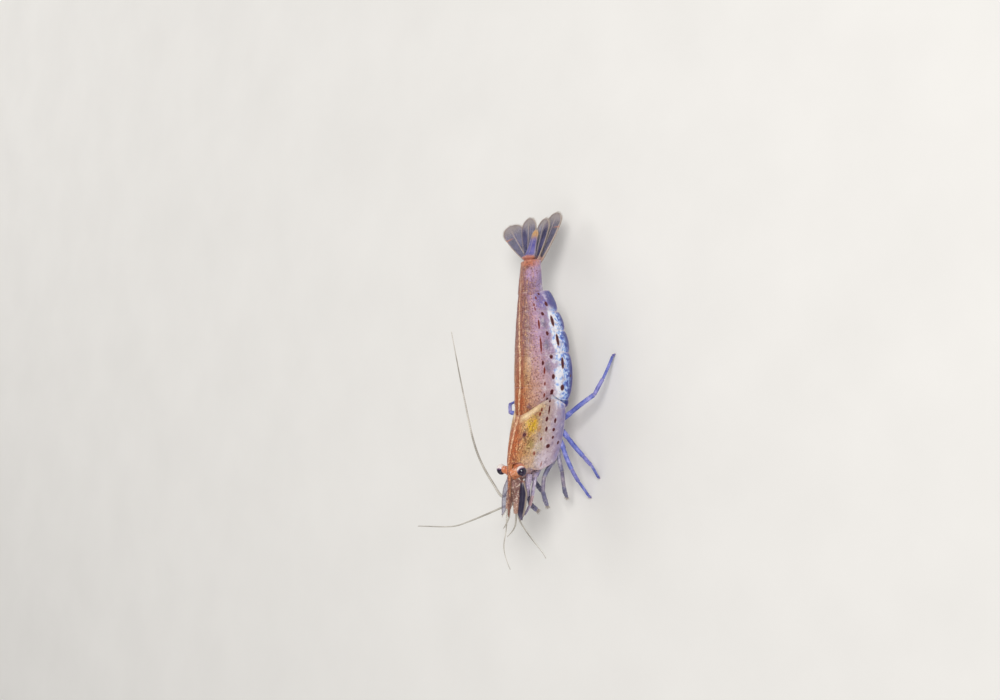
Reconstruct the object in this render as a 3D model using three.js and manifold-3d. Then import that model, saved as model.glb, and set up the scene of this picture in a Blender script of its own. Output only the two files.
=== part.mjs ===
// Amano shrimp (Caridina multidentata), a still life-size model standing on its walking legs.
// Millimetres. The head points to -X, the animal's left is -Y, up is +Z, and the floor is z = 0.
import * as THREE from "three";
import { mergeVertices } from "three/addons/utils/BufferGeometryUtils.js";
import Module from "manifold-3d";

// Driving dimensions. s runs along the body from head to tail, "left" across it, "up" from the body's axis.
const standHeight = 7.3; // the body's axis above the floor
const originX = 1.61; // middle of the bounding box, taken as the origin
const originY = 4.78;
const jointGap = 0.06; // between neighbouring shell plates
const headYaw = -0.035; // slope of the straight cephalothorax
const tailYaw = { start: 0.05, end: 0.3, at: 14 }; // slope of the abdomen, bent to the animal's right
const carapaceFront = -9.7;
const rostrumTip = -17.5;
const rostrumTeeth = 16;
const abdomenEnd = 20.5;
const minimum = 0.5; // least thickness of feelers, legs and fins
const feelerRadius = minimum / 2;
const lowestAngle = THREE.MathUtils.degToRad(135); // where the side plates end, from the back's midline
// dorsal joint lines, and how far each runs back (+) or forward (-) low on the flank
const jointLines = [
  { back: 1.6, flank: -1.0 },
  { back: 6.2, flank: 0.6 },
  { back: 9.8, flank: 0.2 },
  { back: 12.6, flank: 0.1 },
  { back: 15.5, flank: 0.5 },
];

const v3 = (x, y, z) => new THREE.Vector3(x, y, z);
const { lerp, smoothstep, degToRad } = THREE.MathUtils;

// ---- the body's axis and its sections ----
function axisY(s) {
  if (s < 0) return headYaw * s;
  const bend = (tailYaw.end - tailYaw.start) / tailYaw.at / 2;
  const t = Math.min(s, tailYaw.at);
  return tailYaw.start * t + bend * t * t + tailYaw.end * (s - t);
}
function axisYaw(s) {
  if (s < 0) return Math.atan(headYaw);
  return Math.atan(lerp(tailYaw.start, tailYaw.end, Math.min(1, s / tailYaw.at)));
}
const place = (s, left, up) => v3(s, -left, up);
function bodyPoint(s, left, up) {
  const yaw = axisYaw(s);
  return v3(s + left * Math.sin(yaw), axisY(s) - left * Math.cos(yaw), up);
}
const carapaceTop = (s) => 3.87 - 0.1 * s + 0.16 * Math.sin((Math.PI * (s + 2.8)) / -7);
const carapaceHalf = (s) => 3.25 - 0.019 * (s + 2.6) ** 2;
const pleonTop = (s) => 4.55 - 0.0107 * (s - 4.2) ** 2;
const pleonBottom = (s) => -4.15 + 0.0148 * (s - 4) ** 2;
const pleonHalf = (s) => 3.2 - 0.0105 * (s - 3.5) ** 2;
const pleonBelly = (s) => pleonBottom(s) + 1.8 - 0.035 * s;
const sternum = (s) => -2.9 + 0.05 * Math.max(0, -6 - s) ** 2; // underside of the carapace's filling

// Point of an upright oval section whose lower end is cut at lowestAngle; p runs from -1 (right) to 1 (left).
function ovalPoint(s, p, top, bottom, half) {
  const angle = p * lowestAngle;
  const tall = (top - bottom) / (1 - Math.cos(lowestAngle));
  return bodyPoint(s, half * Math.sin(angle), top - tall * (1 - Math.cos(angle)));
}

// ---- closed surfaces ----
function fromTriangles(points, triangles) {
  const geometry = new THREE.BufferGeometry().setFromPoints(points);
  let volume = 0;
  for (const [a, b, c] of triangles)
    volume += points[a].dot(v3(0, 0, 0).crossVectors(points[b], points[c]));
  geometry.setIndex(triangles.flatMap(([a, b, c]) => (volume < 0 ? [a, c, b] : [a, b, c])));
  return geometry;
}

// Skin over closed rings of equal count, each end closed by a fan.
function loft(rings) {
  const count = rings[0].length;
  const points = rings.flat();
  const triangles = [];
  for (let i = 0; i + 1 < rings.length; i++)
    for (let j = 0; j < count; j++) {
      const k = (j + 1) % count;
      const [a, b, c, d] = [i * count + j, i * count + k, (i + 1) * count + k, (i + 1) * count + j];
      triangles.push([a, b, c], [a, c, d]);
    }
  for (const [first, turn] of [[0, true], [(rings.length - 1) * count, false]]) {
    const middle = points.length;
    const centre = v3(0, 0, 0);
    for (let j = 0; j < count; j++) centre.addScaledVector(points[first + j], 1 / count);
    points.push(centre);
    for (let j = 0; j < count; j++) {
      const k = (j + 1) % count;
      triangles.push(turn ? [middle, first + k, first + j] : [middle, first + j, first + k]);
    }
  }
  return fromTriangles(points, triangles);
}

// A bent plate: at(u, v, side) gives its two faces, u and v from 0 to 1, side 0 or 1.
function plate(alongCount, acrossCount, at) {
  const rings = [];
  for (let i = 0; i <= alongCount; i++) {
    const ring = [];
    for (let j = 0; j <= acrossCount; j++) ring.push(at(i / alongCount, j / acrossCount, 0));
    for (let j = acrossCount; j >= 0; j--) ring.push(at(i / alongCount, j / acrossCount, 1));
    rings.push(ring);
  }
  const count = rings[0].length;
  const points = rings.flat();
  const triangles = [];
  for (let i = 0; i < alongCount; i++)
    for (let j = 0; j < count; j++) {
      const k = (j + 1) % count;
      const [a, b, c, d] = [i * count + j, i * count + k, (i + 1) * count + k, (i + 1) * count + j];
      triangles.push([a, b, c], [a, c, d]);
    }
  for (const [first, turn] of [[0, true], [alongCount * count, false]])
    for (let j = 0; j < acrossCount; j++) {
      const [a, b] = [first + j, first + j + 1];
      const [c, d] = [first + count - 2 - j, first + count - 1 - j];
      triangles.push(turn ? [a, c, b] : [a, b, c], turn ? [a, d, c] : [a, c, d]);
    }
  return fromTriangles(points, triangles);
}

// A round limb through the points of a path, with one radius per point; flatFoot makes its last ring level.
function limb(path, radii, sides, flatFoot = false) {
  const rings = [];
  let across = v3(0, 0, 1);
  path.forEach((point, i) => {
    const before = path[Math.max(0, i - 1)];
    const after = path[Math.min(path.length - 1, i + 1)];
    const forward = v3(0, 0, 0)
      .add(after.clone().sub(point).normalize())
      .add(point.clone().sub(before).normalize())
      .normalize();
    if (flatFoot && i === path.length - 1) forward.set(0, 0, -1);
    across = across.clone().addScaledVector(forward, -across.dot(forward)).normalize();
    const third = v3(0, 0, 0).crossVectors(forward, across);
    const ring = [];
    for (let j = 0; j < sides; j++) {
      const turn = (2 * Math.PI * j) / sides;
      ring.push(
        point
          .clone()
          .addScaledVector(across, radii[i] * Math.cos(turn))
          .addScaledVector(third, radii[i] * Math.sin(turn)),
      );
    }
    rings.push(ring);
  });
  return loft(rings);
}

// ---- cuts ----
const wasm = await Module();
wasm.setup();
const { Manifold, Mesh } = wasm;

function toSolid(geometry) {
  const plain = new THREE.BufferGeometry().setAttribute("position", geometry.getAttribute("position"));
  plain.setIndex(geometry.index);
  const merged = mergeVertices(plain, 1e-4);
  const mesh = new Mesh({
    numProp: 3,
    vertProperties: new Float32Array(merged.attributes.position.array),
    triVerts: new Uint32Array(merged.index.array),
  });
  return new Manifold(mesh);
}
function fromSolid(solid) {
  const mesh = solid.getMesh();
  const geometry = new THREE.BufferGeometry();
  geometry.setAttribute("position", new THREE.BufferAttribute(new Float32Array(mesh.vertProperties), 3));
  geometry.setIndex(new THREE.BufferAttribute(new Uint32Array(mesh.triVerts), 1));
  return geometry;
}

// A slab wider than the body whose side outline, in (s, up), is the given list of points, square to the axis at atS.
function sideSlab(outline, atS) {
  const shape = new THREE.Shape(outline.map(([s, up]) => new THREE.Vector2(s - atS, up)));
  const geometry = new THREE.ExtrudeGeometry(shape, { depth: 14, bevelEnabled: false, curveSegments: 1 });
  geometry.translate(0, 0, -7).rotateX(Math.PI / 2).rotateZ(axisYaw(atS));
  geometry.translate(atS, axisY(atS), 0);
  return toSolid(geometry);
}

const heights = (from, to, count) => Array.from({ length: count + 1 }, (_, i) => lerp(from, to, i / count));

// Joint lines as s for a height above the axis: 0 is the rear edge of the carapace, 1 to 5 are the abdomen's.
function jointLine(i, up) {
  if (i === 0) return 0.3 - (up > 0.2 ? 0.204 : 0.1) * (up - 0.2) ** 2;
  const { back, flank } = jointLines[i - 1];
  return back + flank * (1 - smoothstep(up, -1.6, 1.8));
}
// Everything behind joint line i, moved back by shift.
function behind(i, shift) {
  const line = heights(5.4, -4.6, 10).map((up) => [jointLine(i, up) + shift, up]);
  return sideSlab([...line, [30, -4.6], [30, 5.4]], jointLine(i, 1.5));
}

// ---- materials ----
function shellMaterial() {
  return new THREE.MeshStandardMaterial({ color: 0xc98a63, roughness: 0.35 });
}
function clearMaterial() {
  return new THREE.MeshStandardMaterial({ color: 0xa9a9c9, roughness: 0.3, transparent: true, opacity: 0.8 });
}
function limbMaterial() {
  return new THREE.MeshStandardMaterial({ color: 0x9d93c4, roughness: 0.3 });
}
function feelerMaterial() {
  return new THREE.MeshStandardMaterial({ color: 0xe0cfa8, roughness: 0.4 });
}
function eyeMaterial() {
  return new THREE.MeshStandardMaterial({ color: 0x1c1226, roughness: 0.1 });
}
function fleshMaterial() {
  return new THREE.MeshStandardMaterial({ color: 0xd8b49a, roughness: 0.5 });
}

const group = new THREE.Group();
group.name = "amano_shrimp";
function add(name, geometry, material) {
  const mesh = new THREE.Mesh(geometry, material);
  mesh.name = name;
  mesh.position.set(-originX, -originY, standHeight);
  group.add(mesh);
}

// ---- carapace, rostrum, thorax, head ----
function carapaceSolid(grow) {
  const rings = [];
  for (let i = 0; i <= 12; i++) {
    const s = lerp(-10.9, 0.9, i / 12);
    const ring = [];
    for (let j = 0; j <= 18; j++)
      ring.push(ovalPoint(s, j / 9 - 1, carapaceTop(s) + grow, -3.9, carapaceHalf(s) + grow));
    rings.push(ring);
  }
  return toSolid(loft(rings));
}
function carapaceOutline(grow) {
  const front = [
    [carapaceFront + 0.1, 6], [carapaceFront + 0.1, 4.75], [carapaceFront + 0.42, 4.2],
    [carapaceFront + 0.25, 3.4], [carapaceFront - 0.35, 3.0], [carapaceFront - 0.2, 2.5],
    [carapaceFront - 0.45, 1.4], [carapaceFront - 0.5, 0.6], [carapaceFront - 0.1, -0.3],
  ].map(([s, up]) => [s - grow, up]);
  const lower = heights(carapaceFront + 1.2, -1.4, 7).map((s) => [s, sternum(s) + 0.35 - grow]);
  return [...front, ...lower, [2, -1.5], [2, 6]];
}
const carapace = carapaceSolid(0).intersect(sideSlab(carapaceOutline(0), -5)).subtract(behind(0, -jointGap / 2));
const carapaceCutter = carapaceSolid(0.8).intersect(sideSlab(carapaceOutline(jointGap), -5)).subtract(behind(0, jointGap / 2));
add("carapace", fromSolid(carapace), shellMaterial());

function rostrumGeometry() {
  const base = carapaceFront + 0.02;
  const top = (s) => lerp(4.98, 3.82, ((base - s) / (base - rostrumTip)) ** 1.1);
  const outline = [[base, 4.25]];
  outline.push([base, top(base)]);
  for (let i = 0; i < rostrumTeeth; i++) {
    const s = lerp(base - 0.2, rostrumTip + 0.7, i / (rostrumTeeth - 1));
    outline.push([s, top(s)], [s - 0.3, top(s) + 0.17]);
  }
  outline.push([rostrumTip, 3.8], [rostrumTip, 3.62], [lerp(base, rostrumTip, 0.62), 3.62], [lerp(base, rostrumTip, 0.3), 4.02]);
  const shape = new THREE.Shape(outline.map(([s, up]) => new THREE.Vector2(s, up)));
  const geometry = new THREE.ExtrudeGeometry(shape, { depth: 0.56, bevelEnabled: false, curveSegments: 1 });
  geometry.translate(0, 0, -0.28).rotateX(Math.PI / 2);
  geometry.rotateZ(Math.atan(headYaw));
  return geometry;
}
add("rostrum", rostrumGeometry(), shellMaterial());

// The underside of the thorax, between the legs' first joints.
function thoraxSolid(grow) {
  const rings = [];
  for (let i = 0; i <= 7; i++) {
    const s = lerp(carapaceFront + 0.9, -1.2, i / 7) + grow * (i === 7) - grow * (i === 0);
    const top = sternum(s) + 0.3;
    const half = 1.55 - 0.03 * (s + 4) ** 2 + grow;
    rings.push([[half, top], [half * 0.95, top - 0.55 - grow], [half * 0.45, top - 1 - grow], [-half * 0.45, top - 1 - grow], [-half * 0.95, top - 0.55 - grow], [-half, top]].map(([left, up]) => bodyPoint(s, left, up)));
  }
  return toSolid(loft(rings));
}
add("thorax", fromSolid(thoraxSolid(0)), fleshMaterial());

function headSolid(grow) {
  const rings = [];
  for (const [s, half, low, high] of [
    [-9.3, 1.5, -0.1, 3.72], [-10.6, 1.45, 0.7, 3.68], [-11.4, 1.35, 1.35, 3.66], [-11.9, 1.2, 1.8, 3.6],
  ]) {
    const ring = [];
    for (let j = 0; j < 10; j++) {
      const turn = (2 * Math.PI * (j + 0.5)) / 10;
      ring.push(bodyPoint(s - grow, (half + grow) * Math.sin(turn), (low + high) / 2 + ((high - low) / 2 + grow) * Math.cos(turn)));
    }
    rings.push(ring);
  }
  return toSolid(loft(rings));
}
const head = headSolid(0).subtract(carapaceCutter);
const headCutter = headSolid(jointGap);
add("head", fromSolid(head), fleshMaterial());

// ---- abdomen ----
// One long ribbed arch, cut along the joint lines into the five plates that carry side flaps.
function pleonArch() {
  const corner = 0.8;
  return toSolid(
    plate(13, 16, (u, v, side) => {
      const s = lerp(-4, 17, u);
      const p = 2 * v - 1;
      const q = Math.abs(p);
      if (side === 0) return ovalPoint(s, p, pleonTop(s), pleonBottom(s), pleonHalf(s));
      const wall = pleonHalf(s) * Math.sin(corner * lowestAngle) - 0.62;
      const foot = pleonHalf(s) * Math.sin(lowestAngle) - 0.55;
      const left = q <= corner ? (wall * q) / corner : lerp(wall, foot, (q - corner) / (1 - corner));
      const up = q <= corner ? pleonBelly(s) : lerp(pleonBelly(s), pleonBottom(s) + 0.02, (q - corner) / (1 - corner));
      return bodyPoint(s, Math.sign(p) * left, up);
    }),
  );
}
// Rounds off the lower edge of plate i.
function flapOutline(i) {
  const notch = i === 0 ? 1.3 : 1.15;
  const [start, end] = [jointLine(i, -3) - (i === 0 ? 0.4 : 0), jointLine(i + 1, -3)];
  const middle = (start + end) / 2;
  const low = pleonBottom(middle) + notch;
  const arc = heights(0, Math.PI, 10).map((turn) => [
    middle - ((end - start) / 2) * Math.cos(turn),
    low - (notch - 0.05) * Math.sin(turn),
  ]);
  return [[start - 3, 6], [start - 3, low + 0.01], ...arc, [end + 3, low + 0.01], [end + 3, 6]];
}
const arch = pleonArch();
for (let i = 0; i < 5; i++) {
  const flap = sideSlab(flapOutline(i), (jointLine(i, -3) + jointLine(i + 1, -3)) / 2);
  const plate = arch.intersect(behind(i, jointGap / 2)).subtract(behind(i + 1, -jointGap / 2)).intersect(flap);
  add("pleon_" + (i + 1), fromSolid(plate), shellMaterial());
}
function lastPleon() {
  const rings = [];
  for (let i = 0; i <= 6; i++) {
    const s = lerp(14.6, abdomenEnd, i / 6);
    const tall = lerp(2.3, 1.6, i / 6);
    const half = lerp(1.75, 1.5, i / 6);
    const ring = [];
    for (let j = 0; j < 14; j++) {
      const turn = (2 * Math.PI * j) / 14;
      ring.push(bodyPoint(s, half * Math.sin(turn), pleonTop(s) - tall + tall * Math.cos(turn)));
    }
    rings.push(ring);
  }
  return toSolid(loft(rings)).intersect(behind(5, jointGap / 2));
}
add("pleon_6", fromSolid(lastPleon()), shellMaterial());

// ---- tail fan ----
const fan = { pitch: degToRad(21), yaw: degToRad(13), roll: degToRad(11), up: 0.12 };
const fanTurn = new THREE.Matrix4()
  .makeTranslation(abdomenEnd + 0.07, axisY(abdomenEnd), fan.up)
  .multiply(new THREE.Matrix4().makeRotationZ(fan.yaw))
  .multiply(new THREE.Matrix4().makeRotationY(fan.pitch))
  .multiply(new THREE.Matrix4().makeRotationX(fan.roll));
const fanPoint = (along, left, up) => v3(along, -left, up).applyMatrix4(fanTurn);

// A fin: a plate of given length and half width on its own axis, turned out by an angle and lifted at its outer edge.
function fin({ base, left, up, length, half, root, angle, lift, round }) {
  return plate(9, 4, (u, v, side) => {
    const t = 0.985 * u;
    const grown = lerp(root, half, Math.min(1, smoothstep(t, 0, 0.62)));
    const width = t > round ? grown * Math.sqrt(1 - ((t - round) / (1 - round)) ** 2) : grown;
    const across = (2 * v - 1) * Math.max(width, 0.14);
    const along = t * length;
    const turn = degToRad(angle);
    const outward = Math.sign(left) * Math.abs(left);
    return fanPoint(
      base + along * Math.cos(turn) - across * Math.sin(turn) * Math.sign(left || 1),
      outward + Math.sign(left || 1) * along * Math.sin(turn) + across * Math.cos(turn),
      up + lift * along * (0.5 + (across * Math.sign(left || 1)) / (2 * half)) - 0.02 * along + (side ? -0.27 : 0.27),
    );
  });
}
const fins = [
  { name: "telson", base: 0.2, left: 0, up: 0.55, length: 5.1, half: 0.55, root: 1.05, angle: 0, lift: 0, round: 0.8 },
  { name: "endopod_left", base: 0.32, left: 0.7, up: -0.1, length: 7.2, half: 1.15, root: 0.45, angle: 0.5, lift: 0.02, round: 0.72 },
  { name: "endopod_right", base: 0.32, left: -0.7, up: -0.1, length: 7.9, half: 1.25, root: 0.45, angle: 12.5, lift: 0.03, round: 0.72 },
  { name: "exopod_left", base: 0.6, left: 0.95, up: -0.72, length: 8.2, half: 1.45, root: 0.5, angle: 9.5, lift: 0.03, round: 0.76 },
  { name: "exopod_right", base: 0.6, left: -0.95, up: -0.72, length: 8.5, half: 1.6, root: 0.5, angle: 37, lift: 0.13, round: 0.76 },
];
for (const { name, ...size } of fins) add(name, fin(size), name === "telson" ? shellMaterial() : clearMaterial());

// ---- eyes ----
const eye = { s: { left: -10.35, right: -10.8 }, left: 2.19, up: 4.2, long: 0.82, round: 0.68 };
for (const [name, sign] of [["left", 1], ["right", -1]]) {
  const ball = new THREE.SphereGeometry(eye.round, 12, 8);
  ball.scale(eye.long / eye.round, 1, 1).rotateZ(sign * 0.35);
  const centre = bodyPoint(eye.s[name], sign * eye.left, eye.up);
  ball.translate(centre.x, centre.y, centre.z);
  add("eye_" + name, ball, eyeMaterial());
  const path = [bodyPoint(-11.1, sign * 0.36, 4.12), bodyPoint(-10.9, sign * 0.9, 4.14), bodyPoint(eye.s[name] - 0.12, sign * 1.7, 4.2)];
  const eyeCutter = toSolid(new THREE.SphereGeometry(eye.round + jointGap, 12, 8).scale(eye.long / eye.round, 1, 1).rotateZ(sign * 0.35).translate(centre.x, centre.y, centre.z));
  add("eyestalk_" + name, fromSolid(toSolid(limb(path, [0.33, 0.38, 0.5], 8)).subtract(eyeCutter).subtract(headCutter)), limbMaterial());
}

// ---- antennules, antennae ----
// Tapered feeler on a smooth curve through a few places given as [s, left, up].
function feeler(places, base, tip, count) {
  const curve = new THREE.CatmullRomCurve3(places.map((at) => place(...at)), false, "centripetal");
  const path = curve.getPoints(count);
  return limb(path, path.map((_, i) => lerp(base, tip, i / count)), 5);
}
const scale = { from: -11.95, to: -17.6, inner: 1.32, outer: 2.85, up: 3.32, slope: 0.16 };
for (const [name, sign] of [["left", 1], ["right", -1]]) {
  const reach = sign > 0 ? -16.9 : -16.5;
  add(
    "antennule_" + name,
    limb(
      [[-12.0, 0.72, 3.05], [-13.6, 0.78, 3.15], [-13.9, 0.78, 3.17], [-15.4, 0.8, 3.22], [-15.6, 0.8, 3.22], [reach, 0.82, 3.25]].map(([s, left, up]) => bodyPoint(s, sign * left, up)),
      [0.46, 0.48, 0.42, 0.46, 0.4, 0.45], 8,
    ),
    limbMaterial(),
  );
  add(
    "antenna_" + name,
    limb([[-11.95, 1.65, 2.1], [-12.9, 1.8, 2.25], [-13.9, 1.95, 2.4]].map(([s, left, up]) => bodyPoint(s, sign * left, up)), [0.58, 0.56, 0.42], 8),
    limbMaterial(),
  );
  add(
    "scale_" + name,
    plate(8, 3, (u, v, side) => {
      const s = lerp(scale.from, scale.to, u);
      const t = 0.97 * u;
      const outer = lerp(1.9, scale.outer, smoothstep(t, 0, 0.4)) - 0.5 * smoothstep(t, 0.6, 1);
      const inner = scale.inner + 0.9 * Math.max(0, (t - 0.62) / 0.38) ** 2;
      return bodyPoint(s, sign * lerp(inner, outer, v), scale.up - scale.slope * v + (side ? -0.25 : 0.25));
    }),
    clearMaterial(),
  );
}
const feelers = {
  feeler_inner_left: [0.26, 9, [[-17.0, 1.02, 3.25], [-18.0, 1.25, 3.0], [-19.9, 3.15, 2.6], [-22.0, 5.3, 1.8], [-22.7, 5.8, 1.55]]],
  feeler_outer_left: [0.28, 6, [[-17.0, 0.55, 3.2], [-18.5, 0.55, 3.3], [-19.3, 0.5, 3.6], [-20.4, -0.1, 4.1]]],
  feeler_inner_right: [0.26, 10, [[-16.6, -1.15, 3.3], [-17.8, -1.2, 3.45], [-19.4, -0.85, 3.75], [-22.0, -0.65, 4.1], [-23.8, -0.3, 3.7], [-25.2, 0.3, 3.3]]],
  feeler_outer_right: [0.28, 5, [[-16.6, -0.58, 3.2], [-17.7, -0.58, 3.5], [-19.2, -0.5, 4.6]]],
  flagellum_right: [0.3, 22, [[-14.1, -2.3, 2.5], [-14.9, -3.4, 2.65], [-13.1, -5.3, 3.2], [-10.3, -7.5, 3.9], [-7.4, -8.9, 4.5], [-0.1, -11.0, 5.7], [9.0, -13.0, 7.4]]],
  flagellum_left: [0.3, 18, [[-14.2, 1.7, 2.35], [-15.0, 0.6, 1.95], [-16.4, -3.6, 1.8], [-18.1, -7.1, 2.2], [-19.7, -10.4, 2.8], [-20.8, -12.9, 3.6], [-21.4, -17.4, 7.0]]],
};
for (const [name, [base, count, places]] of Object.entries(feelers))
  add(name, feeler(places, base, feelerRadius, count), feelerMaterial());

// ---- legs ----
// A jointed leg: places of its joints as [s, left, up], and the radius of each stretch between them.
function leg(places, stretches, flatFoot) {
  const joints = places.map((at) => place(...at));
  if (flatFoot) joints.at(-1).z = -standHeight;
  const path = [joints[0]];
  const radii = [stretches[0]];
  stretches.forEach((radius, i) => {
    const [a, b] = [joints[i], joints[i + 1]];
    path.push(a.clone().lerp(b, 0.16), a.clone().lerp(b, 0.84), b);
    const next = stretches[i + 1] ?? radius;
    radii.push(radius, radius * 0.92, Math.max(radius, next) * 1.06);
  });
  radii[radii.length - 1] = Math.max(feelerRadius, stretches.at(-1));
  return limb(path, radii, 6, flatFoot);
}
const thoraxCutter = thoraxSolid(jointGap);
const lower = -2.95; // height of the legs' first joints
const down = -standHeight;
const legTable = {
  left: [
    [[[-8.55, 1.7, lower + 0.6], [-11.4, 1.65, -0.65], [-13.5, 1.85, -0.5], [-14.6, 1.95, -0.9], [-15.8, 2.1, -1.5]], false],
    [[[-7.2, 1.85, lower + 0.2], [-10.4, 3.0, -3.0], [-12.5, 3.1, -3.5], [-13.4, 2.8, -4.1], [-14.4, 2.5, -5.0]], false],
    [[[-5.85, 2.1, lower], [-9.9, 4.5, -3.5], [-11.6, 4.9, -4.7], [-13.7, 5.3, -6.7], [-13.9, 5.4, down]], true],
    [[[-4.2, 2.15, lower], [-7.75, 6.0, -4.2], [-8.9, 6.9, -5.0], [-10.6, 6.8, -6.7], [-10.8, 6.8, down]], true],
    [[[-2.6, 2.1, lower], [1.6, 7.0, -4.3], [4.0, 7.65, -5.1], [7.5, 7.7, -6.7], [7.75, 7.7, down]], true],
  ],
  right: [
    [[[-8.55, -1.75, lower + 0.6], [-11.6, -1.5, -0.6], [-14.6, -1.1, -0.4], [-15.7, -0.4, -0.3], [-16.6, 1.1, -0.75]], false],
    [[[-7.2, -1.9, lower + 0.2], [-10.2, -3.2, -2.9], [-12.3, -3.3, -3.3], [-13.3, -2.9, -4.0], [-14.3, -2.5, -4.8]], false],
    [[[-5.85, -2.1, lower], [-9.2, -5.3, -2.9], [-10.7, -6.2, -4.2], [-12.5, -7.0, -6.7], [-12.7, -7.1, down]], true],
    [[[-4.2, -2.15, lower], [-6.9, -6.3, -2.5], [-7.7, -7.9, -3.8], [-8.4, -8.7, -6.7], [-8.5, -8.8, down]], true],
    [[[-2.6, -2.1, lower], [-2.5, -6.9, -0.6], [-1.3, -8.7, -2.1], [0.3, -9.5, -6.7], [0.4, -9.55, down]], true],
  ],
};
for (const side of ["left", "right"])
  legTable[side].forEach(([places, flatFoot], i) => {
    const stretches = flatFoot ? [0.42, 0.34, 0.28, 0.27] : [0.4, 0.32, 0.36, 0.27];
    const solid = toSolid(leg(places, stretches, flatFoot)).subtract(thoraxCutter).subtract(carapaceCutter);
    add("leg_" + (i + 1) + "_" + side, fromSolid(solid), limbMaterial());
  });
for (const [name, sign] of [["left", 1], ["right", -1]]) {
  const places = [[-9.6, 0.8, -0.75], [-11.4, 0.85, 0.35], [-14.3, 0.95, 0.75], [-15.7, 0.85, 1.0], [-17.2, 0.35, 1.4]];
  const solid = toSolid(leg(places.map(([s, left, up]) => [s, sign * left, up]), [0.38, 0.38, 0.33, 0.27], false));
  add("jaw_leg_" + name, fromSolid(solid.subtract(thoraxCutter).subtract(carapaceCutter).subtract(headCutter)), limbMaterial());
}

// ---- swimming legs ----
for (let i = 0; i < 5; i++)
  for (const [name, sign] of [["left", 1], ["right", -1]]) {
    const s = lerp(jointLines[0].back - 1.0, jointLines[4].back - 1.5, i / 4);
    const size = 1 - 0.07 * i;
    const room = pleonHalf(s) * Math.sin(lowestAngle) - 0.6; // between the midline and the side flap
    add(
      "pleopod_" + (i + 1) + "_" + name,
      plate(4, 2, (u, v, side) => {
        const width = room * lerp(0.27, 0.34, Math.sin(Math.PI * Math.min(1, u + 0.1)));
        const across = sign * 0.46 * room;
        return bodyPoint(
          s + 2.3 * u * size + (side ? -0.2 : 0.2),
          across + (2 * v - 1) * width,
          pleonBelly(s) - 0.1 - 1.7 * size * Math.sin(1.45 * u) + (side ? -0.18 : 0.18) * Math.min(1, 4 * u),
        );
      }),
      clearMaterial(),
    );
  }

export default group;
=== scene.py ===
import math
import bmesh
import bpy
import numpy as np
from mathutils import Matrix, Vector


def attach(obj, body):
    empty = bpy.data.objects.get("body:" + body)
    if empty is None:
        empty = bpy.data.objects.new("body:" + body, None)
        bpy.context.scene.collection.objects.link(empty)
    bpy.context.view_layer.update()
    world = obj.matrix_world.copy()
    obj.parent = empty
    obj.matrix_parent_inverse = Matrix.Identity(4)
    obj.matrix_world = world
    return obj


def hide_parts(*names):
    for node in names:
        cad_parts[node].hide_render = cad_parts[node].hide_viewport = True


# Amano shrimp, life size, on a pale floor. Lengths below are millimetres until a mesh is written.
# s runs along the body from head to tail, left across it, up from the body's axis.
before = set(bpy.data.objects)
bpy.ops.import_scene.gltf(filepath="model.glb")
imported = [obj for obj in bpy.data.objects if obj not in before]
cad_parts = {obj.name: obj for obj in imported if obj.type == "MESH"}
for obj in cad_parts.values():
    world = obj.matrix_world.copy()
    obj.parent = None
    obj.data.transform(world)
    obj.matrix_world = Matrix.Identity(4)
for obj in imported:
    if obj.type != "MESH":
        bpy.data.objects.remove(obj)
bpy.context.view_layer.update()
mm = 0.001
print("frame loaded:", len(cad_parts), "nodes")


# ---- nodes, colours, meshes ----
def hexColour(code):  # sRGB hex to linear
    parts = [int(code[i : i + 2], 16) / 255 for i in (1, 3, 5)]
    return tuple(c / 12.92 if c <= 0.04045 else ((c + 0.055) / 1.055) ** 2.4 for c in parts) + (1,)


def addNode(tree, kind, wired=None, **settings):
    node = tree.nodes.new(kind)
    for key, value in settings.items():
        setattr(node, key, value)
    for key, value in (wired or {}).items():
        if isinstance(key, int):
            socket = node.inputs[key]
        else:
            socket = next(each for each in node.inputs if each.enabled and each.name == key)
        if isinstance(value, bpy.types.Node):
            value = next(each for each in value.outputs if each.enabled)
        if isinstance(value, bpy.types.NodeSocket):
            tree.links.new(value, socket)
        elif isinstance(value, str) and value.startswith("#"):
            socket.default_value = hexColour(value)
        else:
            socket.default_value = value
    return node


def newMaterial(name):
    material = bpy.data.materials.new(name)
    material.use_nodes = True
    tree = material.node_tree
    tree.nodes.clear()
    return material, tree, addNode(tree, "ShaderNodeTexCoord").outputs["Object"]


def finishMaterial(material, shader):
    addNode(material.node_tree, "ShaderNodeOutputMaterial", {"Surface": shader})
    return material


def setStops(ramp, stops):  # stops: place from 0 to 1, and a hex colour
    stops, elements = list(stops), ramp.color_ramp.elements
    while len(elements) < len(stops):
        elements.new(0.5)
    for element, (at, code) in zip(elements, stops):
        element.position = at
        element.color = hexColour(code)
    return ramp


def ease(x, low, high):
    t = np.clip((np.asarray(x, float) - low) / (high - low), 0, 1)
    return t * t * (3 - 2 * t)


def through(x, knots):  # a smooth curve through (place, value) pairs
    xs, ys = np.array(knots, float).T
    slopes = np.gradient(ys, xs)
    i = np.clip(np.searchsorted(xs, x) - 1, 0, len(xs) - 2)
    wide = xs[i + 1] - xs[i]
    t = np.clip((x - xs[i]) / wide, 0, 1)
    rise = (2 * t**3 - 3 * t**2 + 1) * ys[i] + (3 * t**2 - 2 * t**3) * ys[i + 1]
    return rise + wide * ((t**3 - 2 * t**2 + t) * slopes[i] + (t**3 - t**2) * slopes[i + 1])


def smoothPath(points, count):  # a curve through the points, spaced by the distance between them
    points = np.asarray(points, float)
    at = np.concatenate([[0], np.cumsum(np.sqrt(np.linalg.norm(np.diff(points, axis=0), axis=1)))])
    t = np.linspace(0, at[-1], count)
    return np.stack([through(t, list(zip(at, points[:, axis]))) for axis in range(3)], -1)


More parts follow.
